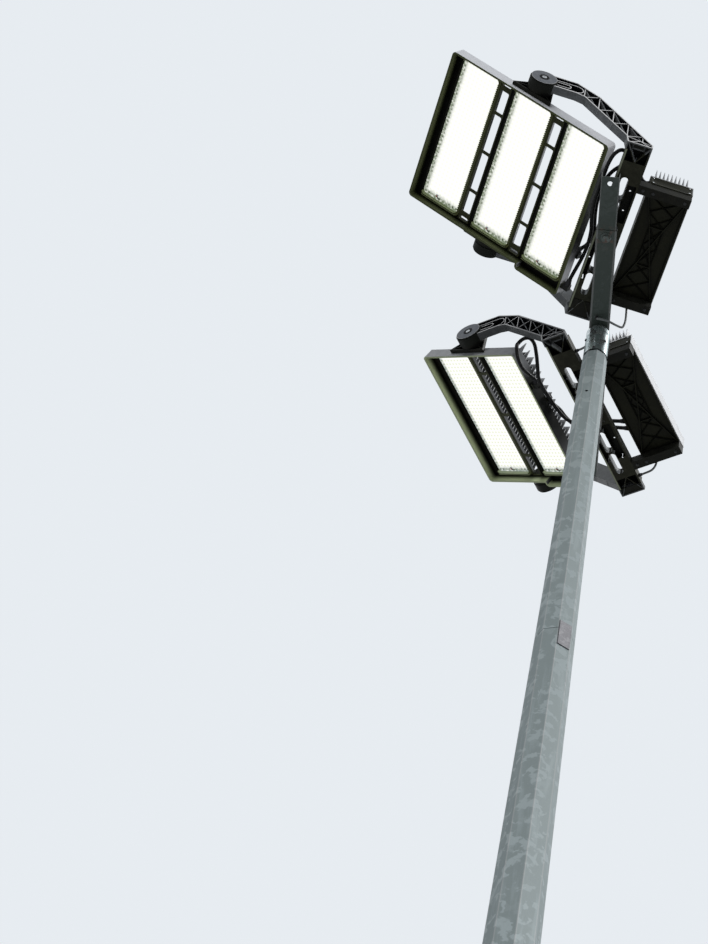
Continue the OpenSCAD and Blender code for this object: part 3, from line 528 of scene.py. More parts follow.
bm = bmesh.new()
thread = [(stud_r - thread_depth * (k % 2), 1 - plate_top + k * thread_half_pitch)
          for k in range(thread_rings)]
for x in (-1, 1):
    for y in (-1, 1):
        foot = aimed(Vector((x * anchor_pitch / 2, y * anchor_pitch / 2, plate_top)) * MM, (0, 0, 1))
        turn(bm, [(17, 0), (33, 0), (33, 4.4), (32, 5), (17, 5)], 40, foot)
        turn(bm, [(22, 5), (26.5, 7), (26.5, 27), (22, 29)], 6, foot, start=0.3 * x + 0.5 * y)
        turn(bm, thread + [(stud_r - 2.5, thread[-1][1] + 2)], 20, foot)
carried("anchor_nuts", bm, [nut_zinc], "column")

# The service door is a galvanised steel plate near the shaft's foot. It is locked by two recessed
# triangular-key screws, set in raised bushes.
door_flat = 2
door_foot = 600
lock_places = (60, 440)

bm = bmesh.new()
for up in lock_places:
    lock = on_shaft(door_flat, door_foot + up)
    turn(bm, [(13, -2), (13, 1.4), (11.5, 2.4), (8.5, 2.4), (8.5, 0.2)], 32, lock)
    turn(bm, [(5.2, 0.1), (4.6, 1.9), (4.2, 2)], 3, lock)
carried("door_locks", bm, [nut_zinc], "column")

# A small galvanised plate lies over the joint of the shaft's two lengths. It is bedded in a dark
# sealant that shows as a thin, uneven line round it.
patch_flat = 6
patch_middle = 9875
across, tall = 25, 73
bead_r = 1.6
bead_steps = 24

seal_paste = moulded_material("seal_paste", (0.03, 0.03, 0.033), (0.07, 0.07, 0.075), 0.6, 90.0)
bm = bmesh.new()
patch_place = on_shaft(patch_flat, patch_middle)
corners = [Vector((x * across, y * tall)) for x, y in ((-1, -1), (1, -1), (1, 1), (-1, 1))]
for a, b in zip(corners, corners[1:] + corners[:1]):
    flat = [a.lerp(b, k / bead_steps) for k in range(bead_steps + 1)]
    uneven = [(bead_r + 0.35 * math.sin(2.1 * k + a.x)) * MM for k in range(bead_steps + 1)]
    sweep(bm, [patch_place @ Vector((*p, 0.3)) for p in flat], uneven, 8)
carried("patch_seal", bm, [seal_paste], "column", crease=60)

# The head sleeve is a new length of galvanised tube, still bright, with dark grub screws that grip
# the post inside it. The narrow neck under it is painted black as shade.
sleeve_foot = 12009
sleeve_r = 52
screw_places = ((145, -104), (126, -161), (92, -49), (90, 3), (12, -100),
                (145, 16), (145, 136), (12, 20), (12, 140), (90, 120), (100, 70))


def in_neck(tree):
    """1 in the narrow neck under the sleeve, which is painted black as its shade."""
    return step_up(tree, place_parts(tree)[2], (sleeve_foot + 0.6) * MM, (sleeve_foot - 0.2) * MM)


dress("head_sleeve", zinc_material("bright_zinc", (0.36, 0.43, 0.43), (0.68, 0.72, 0.72), 26.0, 0.4,
                                   0.92, 0.2, shade_mask=in_neck))
screw_steel = moulded_material("screw_steel", (0.015, 0.016, 0.017), grey(0.05), 0.4, 120.0)
bm = bmesh.new()
for z, angle in screw_places:
    outwards = Vector((math.cos(math.radians(angle)), math.sin(math.radians(angle)), 0))
    seat = aimed((outwards * (sleeve_r - 1) + Vector((0, 0, sleeve_foot + z))) * MM, outwards)
    turn(bm, [(6.2, 0), (6.2, 4), (5.2, 5), (3, 5), (2.6, 2.5)], 18, seat)
carried("sleeve_screws", bm, [screw_steel], "column")

# The crossarm is made of galvanised channel that has dulled to a dark grey-green, with a little
# rust round the swivel bolts and a painted highlight along its rounded bends.
swivel_reach = 0.466


def near_bolts(tree):
    """1 at the swivel bolts, fading out over a hand's breadth."""
    x, y = place_parts(tree)[:2]
    off_y = calc(tree, "SUBTRACT", calc(tree, "ABSOLUTE", y), swivel_reach)
    away = calc(tree, "SQRT", calc(tree, "MULTIPLY_ADD", x, x, product(tree, off_y, off_y)))
    return step_up(tree, away, 0.07, 0.024)


def channel_bends(tree):
    """1 along the rounded bends between the channel's floor and its sides, where a highlight is painted."""
    return step_up(tree, calc(tree, "ABSOLUTE", place_parts(tree)[0]), 0.034, 0.038)


arm_steel = zinc_material("arm_steel", (0.03, 0.042, 0.034), (0.039, 0.053, 0.045), 30.0, 0.3, 0.1, 0.5,
                          channel_bends, near_bolts)
dress("crossarm_main", arm_steel)
dress("crossarm_extensions", arm_steel)
dress("swivel_bolts", zinc_material("bolt_steel", (0.09, 0.11, 0.1), (0.17, 0.19, 0.18), 90.0, 0.35, 0.3,
                                    0.45, rust=near_bolts))

# The bars and the crossmembers are pressure die castings under a black coat that has gone olive-grey
# on its open plates, with painted shade in their pockets. The slots' inner walls are painted pale as
# a reflection of the bright surroundings.
hub_fwd = 452
hub_up = 348
lamp_tilt = 31.6
slot_front = 4
slot_w = 32
bar_front = 46
bar_shades = ((0.002, 0.002, 0.0018), (0.022, 0.022, 0.014), (0.044, 0.044, 0.03))


def axis_of(placed, axis):
    """A unit vector of a frame in mm, in the row's frame."""
    return (placed.to_3x3() @ Vector(axis)).normalized()


def away_from(tree, origin):
    """The surface's place as seen from another, in metres."""
    return vector_calc(tree, "SUBTRACT", object_place(tree), origin)[0]


def reach_past(tree, origin, direction):
    """How far the surface lies past a place in a direction, in metres."""
    return vector_calc(tree, "DOT_PRODUCT", away_from(tree, origin), direction)[1]


def facing(tree, direction):
    """How squarely the surface faces a direction, from -1 to 1."""
    normal = add(tree, "ShaderNodeTexCoord").outputs["Normal"]
    return vector_calc(tree, "DOT_PRODUCT", normal, direction)[1]


def openness(tree, reach):
    """1 on open faces, less in pockets and between ribs, within a reach in metres."""
    settings = {"samples": 6, "only_local": True}
    return add(tree, "ShaderNodeAmbientOcclusion", settings, Distance=reach).outputs["AO"]


def cast_finish(name, shades, masks=None, rough=0.5, gloss=0.08, relief=0.3):
    """A painted casting. shades are the painted shade, open and dusty colours: the first is painted
    as shade in pockets and between ribs. masks is a function of the tree and the colour so far that
    lays further marks over them, painted light and shade among them."""
    shade_colour, open_face, dusty = shades
    material, tree, surface, stained = coated(name, 26.0, 520.0, rough, rough + 0.14, gloss, relief)
    tone = mix(tree, stained, open_face, dusty)
    # Painted shade: enclosed places darken towards the first colour
    tone = mix(tree, step_up(tree, openness(tree, 0.06), 0.5, 0.92), shade_colour, tone)
    feed(tree, surface, Base_Color=masks(tree, tone) if masks else tone)
    return material


black_coat = cast_finish("black_coat", (grey(0.002), (0.01, 0.01, 0.008), (0.022, 0.022, 0.017)))
for side in SIDES:
    bracket = bracket_frame(side)
    origin = bracket.translation
    front, up = axis_of(bracket, (-1, 0, 0)), axis_of(bracket, (0, 0, 1))

    def bar_marks(tree, tone):
        """A painted reflection on the slots' inner walls, and a painted sunlit lower edge along the front
        flange.
        """
        forward = reach_past(tree, origin, front)
        off_row = calc(tree, "ABSOLUTE", calc(tree, "SUBTRACT", forward, slot_front * MM))
        in_slot = step_up(tree, off_row, (slot_w / 2 + 1) * MM, (slot_w / 2 - 1) * MM)
        sideways = step_up(tree, calc(tree, "ABSOLUTE", facing(tree, front)), 0.25, 0.5)
        tone = mix(tree, product(tree, in_slot, sideways), tone, (0.42, 0.44, 0.45))
        low = step_up(tree, reach_past(tree, origin, up), 3.5 * MM, 1.5 * MM)
        edge = step_up(tree, forward, (bar_front - 7.5) * MM, (bar_front - 6) * MM)
        return mix(tree, product(tree, low, edge), tone, (0.34, 0.37, 0.27))

    dress(side + "_bar", cast_finish(side + "_bar_coat", bar_shades, bar_marks))
    dress(side + "_driver_mounts", black_coat)

# The crossmembers are held to the bar and to the driver box by hexagon bolts of blackened steel.
# Their heads sit on washers against the underside.
box_shift = 34
cross_reach = 274
cross_bolt_x = (84, 130, 272)
washer = ((7.56, -0.2), (7.56, 0.98), (6.86, 1.4))
bolt_head = ((6.02, 1.26), (6.72, 2.1), (6.72, 5.04), (5.6, 5.95))

for side in SIDES:
    bracket = bracket_frame(side)
    bm = bmesh.new()
    for u in (box_shift - cross_reach, box_shift + cross_reach):
        for x in cross_bolt_x:
            seat = aimed(bracket @ Vector((x, u, 0)), axis_of(bracket, (0, 0, -1)))
            turn(bm, washer, 24, seat)
            turn(bm, bolt_head, 6, seat)
    carried(side + "_cross_bolts", bm, [screw_steel], side + "_bracket")

# The two cast arms are grey on their outer skin, with painted shade that turns their pockets black and
# a painted highlight along the edges of the ribs. Thin counter ribs make a cross of each bay, and a
# plate closes each foot. One boss ring and cap at each hub carries the lamp.
arm_in = 404
cast_d = 38
arm_shades = {"near": (0.7, (0.15, 0.158, 0.163), (0.2, 0.21, 0.215)),
              "far": (0.5, (0.1, 0.105, 0.108), (0.14, 0.147, 0.15))}
upright_x = (15, -55, -125, -195, -265)
upper_edge = ((-452, 406), (-302, 406), (-194, 336), (62, 26))
lower_edge = ((-452, 306), (-302, 306), (-262, 294), (-58, 50), (62, 26))
counter_rib = ((6.5, 1.5), (31, 1.5), (31.8, 0.8))
foot_x, foot_l, foot_t = 6, 101, 1.5
foot_plates = {("near", -1): (20.5, 0), ("near", 1): (2, 48), ("far", -1): (20.5, 0), ("far", 1): (4, 0)}
ring_r = 62
rib_edge = 33.4
cap_edge_r = 55
cap_boss_r = 21.5
cap_bolt = ((11.2, 0), (11.2, 3.4), (10.2, 4.6), (5.4, 4.6), (5, 2))
cap_shades = ((0.02, 0.021, 0.023), (0.13, 0.138, 0.155), (0.18, 0.19, 0.205))

counter_coat = cast_finish("counter_coat", ((0.02, 0.021, 0.022), (0.2, 0.21, 0.215), (0.28, 0.29, 0.3)))
bolt_zinc = zinc_material("bolt_zinc", (0.55, 0.57, 0.58), (0.8, 0.82, 0.83), 90.0, 0.4, 0.6, 0.35)


def axis_distance(tree, origin, direction):
    """The surface's distance from an axis, in metres."""
    off = vector_calc(tree, "CROSS_PRODUCT", away_from(tree, origin), direction)[0]
    return vector_calc(tree, "LENGTH", off)[1]


def height_at(edge, x):
    """An edge's height at a place along it."""
    for (ax, az), (bx, bz) in zip(edge, edge[1:]):
        if ax <= x <= bx:
            return az + (bz - az) * (x - ax) / (bx - ax)


def rounded(w, l, r, steps=6):
    """A rectangle with rounded corners, anticlockwise, always with as many points."""
    made = []
    for k, (x, y) in enumerate(((1, 1), (-1, 1), (-1, -1), (1, -1))):
        for step in range(steps + 1):
            t = math.pi / 2 * (k + step / steps)
            made.append((x * (w / 2 - r) + r * math.cos(t), y * (l / 2 - r) + r * math.sin(t)))
    return made


def flat_bar(bm, a, b, steps, placed):
    """A straight rib from a to b on a frame's X-Y plane, of (height, half width) steps."""
    a, b = Vector(a), Vector(b)
    beside = Vector((a.y - b.y, b.x - a.x)).normalized()
    stack(bm, [((a - beside * half, b - beside * half, b + beside * half, a + beside * half), h)
               for h, half in steps], placed)


for side in SIDES:
    bracket = bracket_frame(side)
    origin = bracket.translation
    hub = bracket @ Vector((-hub_fwd, 0, hub_up))
    back, along, up = (axis_of(bracket, axis) for axis in ((1, 0, 0), (0, 1, 0), (0, 0, 1)))
    rib_highlight, open_face, dusty = arm_shades[side]

    def rib_marks(tree, tone):
        """A painted highlight on the edges of the rim and the ribs of the arm's outer side, and a black
        boss ring.
        """
        out = calc(tree, "ABSOLUTE", reach_past(tree, origin, along))
        edge = step_up(tree, out, (arm_in + rib_edge) * MM, (arm_in + rib_edge + 1) * MM)
        square = step_up(tree, calc(tree, "ABSOLUTE", facing(tree, along)), 0.8, 0.95)
        tone = mix(tree, product(tree, edge, square), tone, grey(rib_highlight))
        at_hub = step_up(tree, axis_distance(tree, hub, along), (ring_r + 2) * MM, ring_r * MM)
        return mix(tree, at_hub, tone, (0.014, 0.015, 0.012))

    def cap_marks(tree, tone):
        """A dark boss and dark sides, and a pale ring round the disc's edge."""
        r = axis_distance(tree, hub, along)
        square = step_up(tree, calc(tree, "ABSOLUTE", facing(tree, along)), 0.5, 0.8)
        tone = mix(tree, square, (0.014, 0.015, 0.013), tone)
        pale_ring = product(tree, step_up(tree, r, cap_edge_r * MM, (cap_edge_r + 2.5) * MM), square)
        on_boss = step_up(tree, r, (cap_boss_r + 0.6) * MM, cap_boss_r * MM)
        return mix(tree, on_boss, mix(tree, pale_ring, tone, grey(0.5)), grey(0.006))

    arm_coat = cast_finish(side + "_arm_coat", ((0.002, 0.002, 0.003), open_face, dusty), rib_marks)
    dress(side + "_arm_front", arm_coat)
    dress(side + "_arm_rear", arm_coat)
    dress(side + "_hub_caps", cast_finish(side + "_cap_coat", cap_shades, cap_marks))

    rib_bm, plate_bm, bolt_bm = bmesh.new(), bmesh.new(), bmesh.new()
    for end in (-1, 1):
        outer_side = framed((back, up, along * end), bracket @ Vector((0, end * arm_in, 0)))
        for low_x, high_x in zip(upright_x, upright_x[1:]):
            flat_bar(rib_bm, (low_x, height_at(lower_edge, low_x)),
                     (high_x, height_at(upper_edge, high_x)), counter_rib, outer_side)
        level, inwards = foot_plates[side, end]
        middle = bracket @ Matrix.Translation((foot_x, end * (arm_in + (cast_d - inwards) / 2 - 3), level))
        plate = rounded(foot_l, cast_d - 6 + inwards, 2)
        stack(plate_bm, [(plate, 0), (plate, foot_t)], middle)
        cap_face = bracket @ Vector((-hub_fwd, end * (arm_in + cast_d + 3.6), hub_up))
        turn(bolt_bm, cap_bolt, 28, aimed(cap_face, along * end))
    for name, bm, finish, slot in (("counter_ribs", rib_bm, counter_coat, "grey_casting"),
                                   ("foot_plates", plate_bm, black_coat, "grey_casting"),
                                   ("cap_bolts", bolt_bm, bolt_zinc, "bright_zinc")):
        carried(f"{side}_{name}", bm, [finish], side + "_bracket")

# The driver boxes are finned aluminium housings: black below with a truss of ribs, an uncoated finned
# lid, and a rounded cover screwed on each end. The far lid is painted lighter than the near one, as
# painted sunlight.
box_middle = 201
box_l = 590
box_foot = 46
box_h = 70
cover_w, cover_h = 184, 64
cover_steps = ((0, 16, -0.4), (0, 16, 2.2), (1.2, 14.8, 3.4), (8, 10, 3.4), (10, 8, 2))
cover_screw = ((3.6, 0), (3.6, 2.4), (2.9, 3.1), (1.9, 3.1), (1.6, 1.6))
screw_inset = 11
truss_rib = ((10.4, 2.6), (4, 2.6), (3, 1.6))
# Both lids are one metal; the far lid's lighter tones are painted sunlight
lid_shades = {"near": ((0.2, 0.205, 0.21), (0.42, 0.43, 0.445), (0.37, 0.38, 0.39)),
              "far": ((0.5, 0.51, 0.52), (0.66, 0.67, 0.685), (0.6, 0.61, 0.62))}

box_coat = cast_finish("box_coat", ((0.003, 0.003, 0.002), (0.0095, 0.0095, 0.005),
                                    (0.019, 0.019, 0.011)), rough=0.45)
rib_black = cast_finish("rib_black", (grey(0.001), (0.0022, 0.0022, 0.0015), (0.006, 0.006, 0.004)),
                        gloss=0.04)

# The ribs beside those of the housing: a crossed truss down the middle of the underside, and webs
# that fan out in the forks at both ends
truss_corner, box_corner = Vector((31.68, 96.14)), Vector((88, 253))
fork = [truss_corner.lerp(box_corner, k) for k in (0, 0.42, 1)]
truss = []
for s in (-1, 1):
    truss.append(((s * truss_corner.x, -truss_corner.y), (s * truss_corner.x, truss_corner.y)))
    for t in (-1, 1):
        truss.append(((s * truss_corner.x, 0), (-s * truss_corner.x, t * truss_corner.y)))
        truss += [((s * a.x, t * a.y), (-s * b.x, t * b.y)) for a, b in zip(fork, fork[1:])]

for side in SIDES:
    dress(side + "_driver_housing", box_coat)
    dress(side + "_driver_fins", cast_finish(side + "_lid_metal", lid_shades[side], None, 0.45, 0.2, 0.1))
    bracket = bracket_frame(side)
    cover_bm, screw_bm, truss_bm = bmesh.new(), bmesh.new(), bmesh.new()
    for end in (-1, 1):
        middle = bracket @ Vector((box_middle, box_shift + end * box_l / 2, box_foot + box_h / 2 - 1))
        cover = aimed(middle, axis_of(bracket, (0, end, 0)))
        stack(cover_bm, [(rounded(cover_w - 2 * inset, cover_h - 2 * inset, r), h)
                         for inset, r, h in cover_steps], cover)
        for x in (screw_inset - cover_w / 2, cover_w / 2 - screw_inset):
            for y in (screw_inset - cover_h / 2, cover_h / 2 - screw_inset):
                turn(screw_bm, cover_screw, 16, cover @ Matrix.Translation((x, y, 1.8)))
    underside = bracket @ Matrix.Translation((box_middle, box_shift, box_foot))
    for a, b in truss:
        flat_bar(truss_bm, a, b, truss_rib, underside)
    for name, bm, finish, slot in (("box_covers", cover_bm, box_coat, "black_casting"),
                                   ("box_screws", screw_bm, bolt_zinc, "bright_zinc"),
                                   ("box_truss", truss_bm, rib_black, "black_casting")):
        carried(f"{side}_{name}", bm, [finish], side + "_bracket")

# The lamp frames are deep castings. Their outer walls are grey, painted lighter on the near lamp as
# painted sunlight and darker on the far one as painted shade, with a painted shadow behind the cables.
# Inside the rim the glare of the modules is painted on the coat as olive, fading to black on the floor
# between rim and modules.
floor_z = -40
sink_back = -26
outer_paint_and_light = {"near": ((0.66, 0.672, 0.705), (0.72, 0.73, 0.76)),
               "far": ((0.3, 0.308, 0.32), (0.36, 0.368, 0.38))}
rim_olive = {"near": (0.105, 0.12, 0.056), "far": (0.5, 0.57, 0.35)}
shaded_wall = (-0.3, -0.22, 0.1, 0.34)
# The colour of the painted shadow on the outer wall behind the cables
wall_shadow = (0.02, 0.021, 0.019)
outer_wall = {"near": 450, "far": 302}


def lamp_frame(side):
    """From mm in a lamp's own frame to the row's frame: origin on the tilt axis, glass facing -Z."""
    return (bracket_frame(side) @ Matrix.Translation((-hub_fwd, 0, hub_up))
            @ Matrix.Rotation(math.radians(lamp_tilt), 4, "Y"))


for side in SIDES:
    lamp = lamp_frame(side)
    middle, down = lamp.translation, axis_of(lamp, (0, 0, -1))
    outwards, lengthwise = axis_of(lamp, (1, 0, 0)), axis_of(lamp, (0, 1, 0))

    def frame_marks(tree, tone):
        """A painted shadow on the outer wall behind the cables and on the boss that they enter, the
        modules' glare painted olive on the walls that face inwards, fading to black up the walls and on the
        floor, and a lighter olive round its openings."""
        along_wall, past_wall = (reach_past(tree, middle, way) for way in (lengthwise, outwards))
        start, full, fading, end = shaded_wall
        cable_shadow = product(
            tree, step_up(tree, along_wall, start, full), step_up(tree, along_wall, end, fading),
            step_up(tree, facing(tree, outwards), 0.6, 0.9), step_up(tree, past_wall, 0.2, 0.25))
        tone = mix(tree, cable_shadow, tone, wall_shadow)
        depth = reach_past(tree, middle, down)
        turned_in = facing(tree, away_from(tree, middle))
        olive = mix(tree, step_up(tree, depth, 0.04, 0.078), (0.004, 0.0045, 0.002), rim_olive[side])
        tone = mix(tree, step_up(tree, turned_in, -0.06, -0.1), tone, olive)
        downward = facing(tree, down)
        floor_tone = mix(tree, step_up(tree, depth, 0.06, 0.08), (0.0015, 0.0015, 0.001), rim_olive[side])
        tone = mix(tree, step_up(tree, downward, 0.8, 0.95), tone, floor_tone)
        in_opening = product(
            tree, step_up(tree, depth, (0.5 - floor_z) * MM, (-0.5 - floor_z) * MM),
            step_up(tree, depth, (-0.5 - sink_back) * MM, (0.5 - sink_back) * MM),
            step_up(tree, calc(tree, "ABSOLUTE", downward), 0.3, 0.1),
            step_up(tree, openness(tree, 0.05), 0.9, 0.6))
        tone = mix(tree, in_opening, tone, (0.05, 0.055, 0.035))
        on_boss = step_up(tree, past_wall, (outer_wall[side] + 2) * MM, (outer_wall[side] + 4) * MM)
        return mix(tree, on_boss, tone, wall_shadow)

    frame_shades = ((0.02, 0.021, 0.021), *outer_paint_and_light[side])
    dress(side + "_frame", cast_finish(side + "_frame_coat", frame_shades, frame_marks, rough=0.4))
    dress(side + "_hubs", black_coat)

# Each module's front is a bezel moulded in olive plastic, with a double lip round a recessed board
# of lenses, black along one long side as painted shade and toothed along the other. A small terminal
# with two wires is fixed at the board's end.
module_pitch = 296
modules = {"near": 3, "far": 2}
lamp_set = 11
glass_l, glass_w, glass_r = 690, 210, 22
board_z = -32
bezel_steps = ((12, floor_z - 0.2), (12, -46.6), (10.6, -48), (7.4, -48), (6.2, -46.2), (4.8, -46.2),
               (3.6, -48), (1.2, -48), (0, -46.8), (-1.5, board_z - 0.6), (-1.5, board_z + 3),
               (10, board_z + 3), (10, floor_z - 0.2))
tooth_pitch = 10
tooth_count = 65
lens_pitch = 20
lens_grid = (10, 34)
lens_dome = ((6.2, -0.2), (4.96, 2.04), (2.2, 3.4))
terminal_u = 319
terminal_x = {"near": -23, "far": -13}
wire_r = 2
wire_steps = 10
block_cut = 0.8
bezel_shades = {"near": ((0.07, 0.078, 0.028), (0.1, 0.11, 0.045)),
                "far": ((0.1, 0.11, 0.05), (0.14, 0.155, 0.08))}
lit_side = (0.3, 0.3, 0.05)
lit_end = {"near": (0.34, 0.4, 0.22), "far": (0.55, 0.62, 0.42)}
dot_tones = {"near": (0.93, 0.95, 0.84), "far": (0.76, 0.8, 0.62)}
fray_tones = {"near": (0.13, 0.175, 0.095), "far": (0.2, 0.25, 0.22)}
fray_reach = {"near": 0.036, "far": 0.028}


def bezel_material(side):
    """Olive plastic that the glare of the board turns yellow on one side and pale on the far end."""
    material, tree, surface = new_material(side + "_bezel_plastic")
    stained = add(tree, "ShaderNodeGroup", {"node_tree": moulded_skin}).outputs["Stain"]
    lamp = lamp_frame(side)
    tone = mix(tree, stained, *bezel_shades[side])
    for axis, lit in (((-1, 0, 0), lit_side), ((0, -1, 0), lit_end[side])):
        tone = mix(tree, step_up(tree, facing(tree, axis_of(lamp, axis)), 0.35, 0.7), tone, lit)
    feed(tree, surface, Base_Color=tone, Roughness=0.4, Specular_IOR_Level=0.15)
    return material


def board_material(side):
    """White glow with the lenses as faint darker dots. Along the side and the end that turn away
    from the viewer's glare the dots grow dark and the ground fades to a grey-green."""
    material, tree, surface = new_material(side + "_lens_board")
    uv = add(tree, "ShaderNodeUVMap", {"uv_map": "board"}).outputs[0]
    grid = vector_calc(tree, "SCALE", uv, Scale=1000.0 / lens_pitch)[0]
    cell = vector_calc(tree, "FRACTION", grid)[0]
    off_lens = vector_calc(tree, "DISTANCE", cell, (0.5, 0.5, 0))[1]
    dot = step_up(tree, off_lens, 0.34, 0.16)
    x, u = add(tree, "ShaderNodeSeparateXYZ", Vector=uv).outputs[:2]
    low_x, high_x = (0.5 + s * glass_w / 2 * MM for s in (-1, 1))
    low_u, high_u = (0.5 + s * glass_l / 2 * MM for s in (-1, 1))
    frayed = 0.0
    for value, start, end in ((x, low_x + fray_reach[side], low_x + 0.002), (x, high_x - 0.012, high_x),
                              (u, low_u + 0.014, low_u + 0.002), (u, high_u - 0.04, high_u - 0.006)):
        frayed = calc(tree, "MAXIMUM", frayed, step_up(tree, value, start, end))
    frayed = product(tree, frayed, step_up(tree, noise(tree, uv, 90.0)["Fac"], 0.15, 0.6))
    glare = mix(tree, dot, (1.0, 1.0, 0.96), dot_tones[side])
    glare = mix(tree, product(tree, frayed, 0.95), glare, fray_tones[side])
    glare = mix(tree, product(tree, frayed, dot), glare, (0.03, 0.045, 0.02))
    feed(tree, surface, Emission_Color=glare, Emission_Strength=1.06, Roughness=0.5,
         Base_Color=(0.02, 0.022, 0.018, 1), Specular_IOR_Level=0.0)
    return material


def in_line(count, pitch):
    """Evenly spaced places, centred on 0."""
    return [(k - (count - 1) / 2) * pitch for k in range(count)]


def across_lamp(side, count, z=0):
    """Frames in mm side by side across a lamp, one for each module or gap."""
    lamp = lamp_frame(side)
    return [lamp @ Matrix.Translation((lamp_set + x, 0, z)) for x in in_line(count, module_pitch)]


def small_block(bm, lo, hi, placed):
    """A block with bevelled edges between two corners in a frame in mm."""
    (ax, ay, az), (bx, by, bz) = lo, hi
    middle = placed @ Matrix.Translation(((ax + bx) / 2, (ay + by) / 2, 0))
    levels = ((az, block_cut), (az + block_cut / 2, 0), (bz - block_cut / 2, 0), (bz, block_cut))
    stack(bm, [(rounded(bx - ax - cut, by - ay - cut, block_cut, 2), h) for h, cut in levels], middle)


wire_red = moulded_material("wire_red", (0.8, 0.16, 0.1), (0.9, 0.25, 0.18), 0.4, 90.0)
wire_black = moulded_material("wire_black", (0.01, 0.01, 0.012), (0.03, 0.03, 0.035), 0.4, 90.0)
terminal_white = moulded_material("terminal_white", (0.75, 0.77, 0.8), (0.85, 0.87, 0.9), 0.4, 90.0)
glass = rounded(glass_w, glass_l, glass_r)
for side in SIDES:
    bezel_bm, board_bm, terminal_bm = bmesh.new(), bmesh.new(), bmesh.new()
    board_uv = board_bm.loops.layers.uv.new("board")
    for module in across_lamp(side, modules[side]):
        lip = [(rounded(glass_w + 2 * grow, glass_l + 2 * grow, glass_r + grow / 3), z)
               for grow, z in bezel_steps]
        lip_faces = stack(bezel_bm, lip, module, looped=True)
        for u in in_line(tooth_count, tooth_pitch):
            small_block(bezel_bm, (glass_w / 2 - 4, u - 2.6, -46), (glass_w / 2 + 1, u + 2.6, -38), module)

        # The board has a flat ground and a low dome for each lens
        faces = stack(board_bm, [(glass, board_z), (glass, board_z + 2)], module)
        for x in in_line(lens_grid[0], lens_pitch):
            for u in in_line(lens_grid[1], lens_pitch):
                dome = [([(x + r * c, u + r * s) for c, s in circle(8)], board_z - h) for r, h in lens_dome]
                faces += stack(board_bm, dome, module)
        to_module = module.inverted()
        # The lip's faces along the -x side take the black finish, as painted shade
        for face in lip_faces:
            if (to_module @ face.calc_center_median()).x < 3 - glass_w / 2:
                face.material_index = 1
        for face in faces:
            for loop in face.loops:
                at = to_module @ loop.vert.co
                loop[board_uv].uv = (at.x * MM + 0.5, at.y * MM + 0.5)

        board_end = module @ Matrix.Translation((terminal_x[side], terminal_u, board_z))
        small_block(terminal_bm, (-5, -2, -5), (5, 4, 0), board_end)
        for finish, off, bow in ((1, -5, 7), (2, 1, 12)):
            line = []
            for s in (t / wire_steps for t in range(wire_steps + 1)):
                up_u = 4 + bow * math.sin(math.pi * s / 1.3)
                line.append(board_end @ Vector((off + s * (off + 9) * 1.6, up_u, 3 * s - 4.5)))
            sweep(terminal_bm, line, [wire_r * MM] * len(line), 8, finish)
    for name, bm, materials, crease in (
            ("bezels", bezel_bm, [bezel_material(side), rib_black], 35),
            ("lens_boards", board_bm, [board_material(side)], 60),
            ("terminals", terminal_bm, [terminal_white, wire_red, wire_black], 35)):
        carried(f"{side}_{name}", bm, materials, side + "_lamp", side + "_led_panels", crease)

# Between the modules a cast ladder spans each gap, under the same olive coat as the frame, with
# rounded openings between its rungs. Each cell is one ring: its rails and half a rung at each end.
rail_half = 30
opening_half = 23
opening_end = 352
ladder_end = 356
ladder_front, ladder_back = -46, -40.2
rung_lines = {"near": ((-322, 24), (-198, 14), (0, 14), (198, 14), (322, 24)),
              "far": ((-238, 14), (0, 14), (238, 14))}
opening_r = 7
opening_bevel = 0.8

ladder_coat = cast_finish("ladder_coat", ((0.006, 0.0065, 0.003), (0.036, 0.039, 0.017),
                                          (0.055, 0.059, 0.028)), rough=0.42)


def cell_outline(low, high, half, r, grow=0.0):
    """A rounded rectangle across a ladder, between two places along it, grown on all sides."""
    shape = rounded(2 * (half + grow), high - low + 2 * grow, r + grow)
    return [(x, u + (low + high) / 2) for x, u in shape]


for side in SIDES:
    bm = bmesh.new()
    rungs = rung_lines[side]
    cuts = [-ladder_end] + [middle for middle, width in rungs] + [ladder_end]
    lows = [-opening_end] + [middle + width / 2 for middle, width in rungs]
    highs = [middle - width / 2 for middle, width in rungs] + [opening_end]
    for gap in across_lamp(side, modules[side] - 1):
        for cut_low, cut_high, low, high in zip(cuts, cuts[1:], lows, highs):
            cell = cell_outline(cut_low, cut_high, rail_half, 0.4)
            mouth = cell_outline(low, high, opening_half, opening_r, opening_bevel)
            opening = cell_outline(low, high, opening_half, opening_r)
            stack(bm, [(cell, ladder_back), (cell, ladder_front), (mouth, ladder_front),
                       (opening, ladder_front + opening_bevel), (opening, ladder_back)], gap, looped=True)
    carried(side + "_ladder_castings", bm, [ladder_coat], side + "_lamp",
            side + "_ladders")

# The heat sinks are extruded aluminium with tall and short fins by turns on a base plate, dusty grey,
# with painted shade where they are rooted. The near lamp's fins are painted much paler than the far
# lamp's, as painted sunlight. The fins get lower towards the lamp's end wall at -u, which hides them.
# On the far lamp's last module they keep their height there as teeth at the lamp's back edge.
sink_w, sink_l = 216, 714
sink_base = 7
fin_pitch = 20
fin_count = 36
fin_foot = 105
fin_half = (1.7, 1.7, 1.1, 1.1)
fin_kinds = {"near": ((52, 107), (74, 34)), "far": ((66, 107), (83, 59))}
fin_end = {"near": 300, "far": 352}
wall_u = 370
teeth = (-312, -252)
sink_shades = {"near": ((0.45, 0.46, 0.48), (0.72, 0.73, 0.75), (0.76, 0.77, 0.79)),
               "far": ((0.07, 0.073, 0.077), (0.32, 0.33, 0.343), (0.38, 0.39, 0.4))}

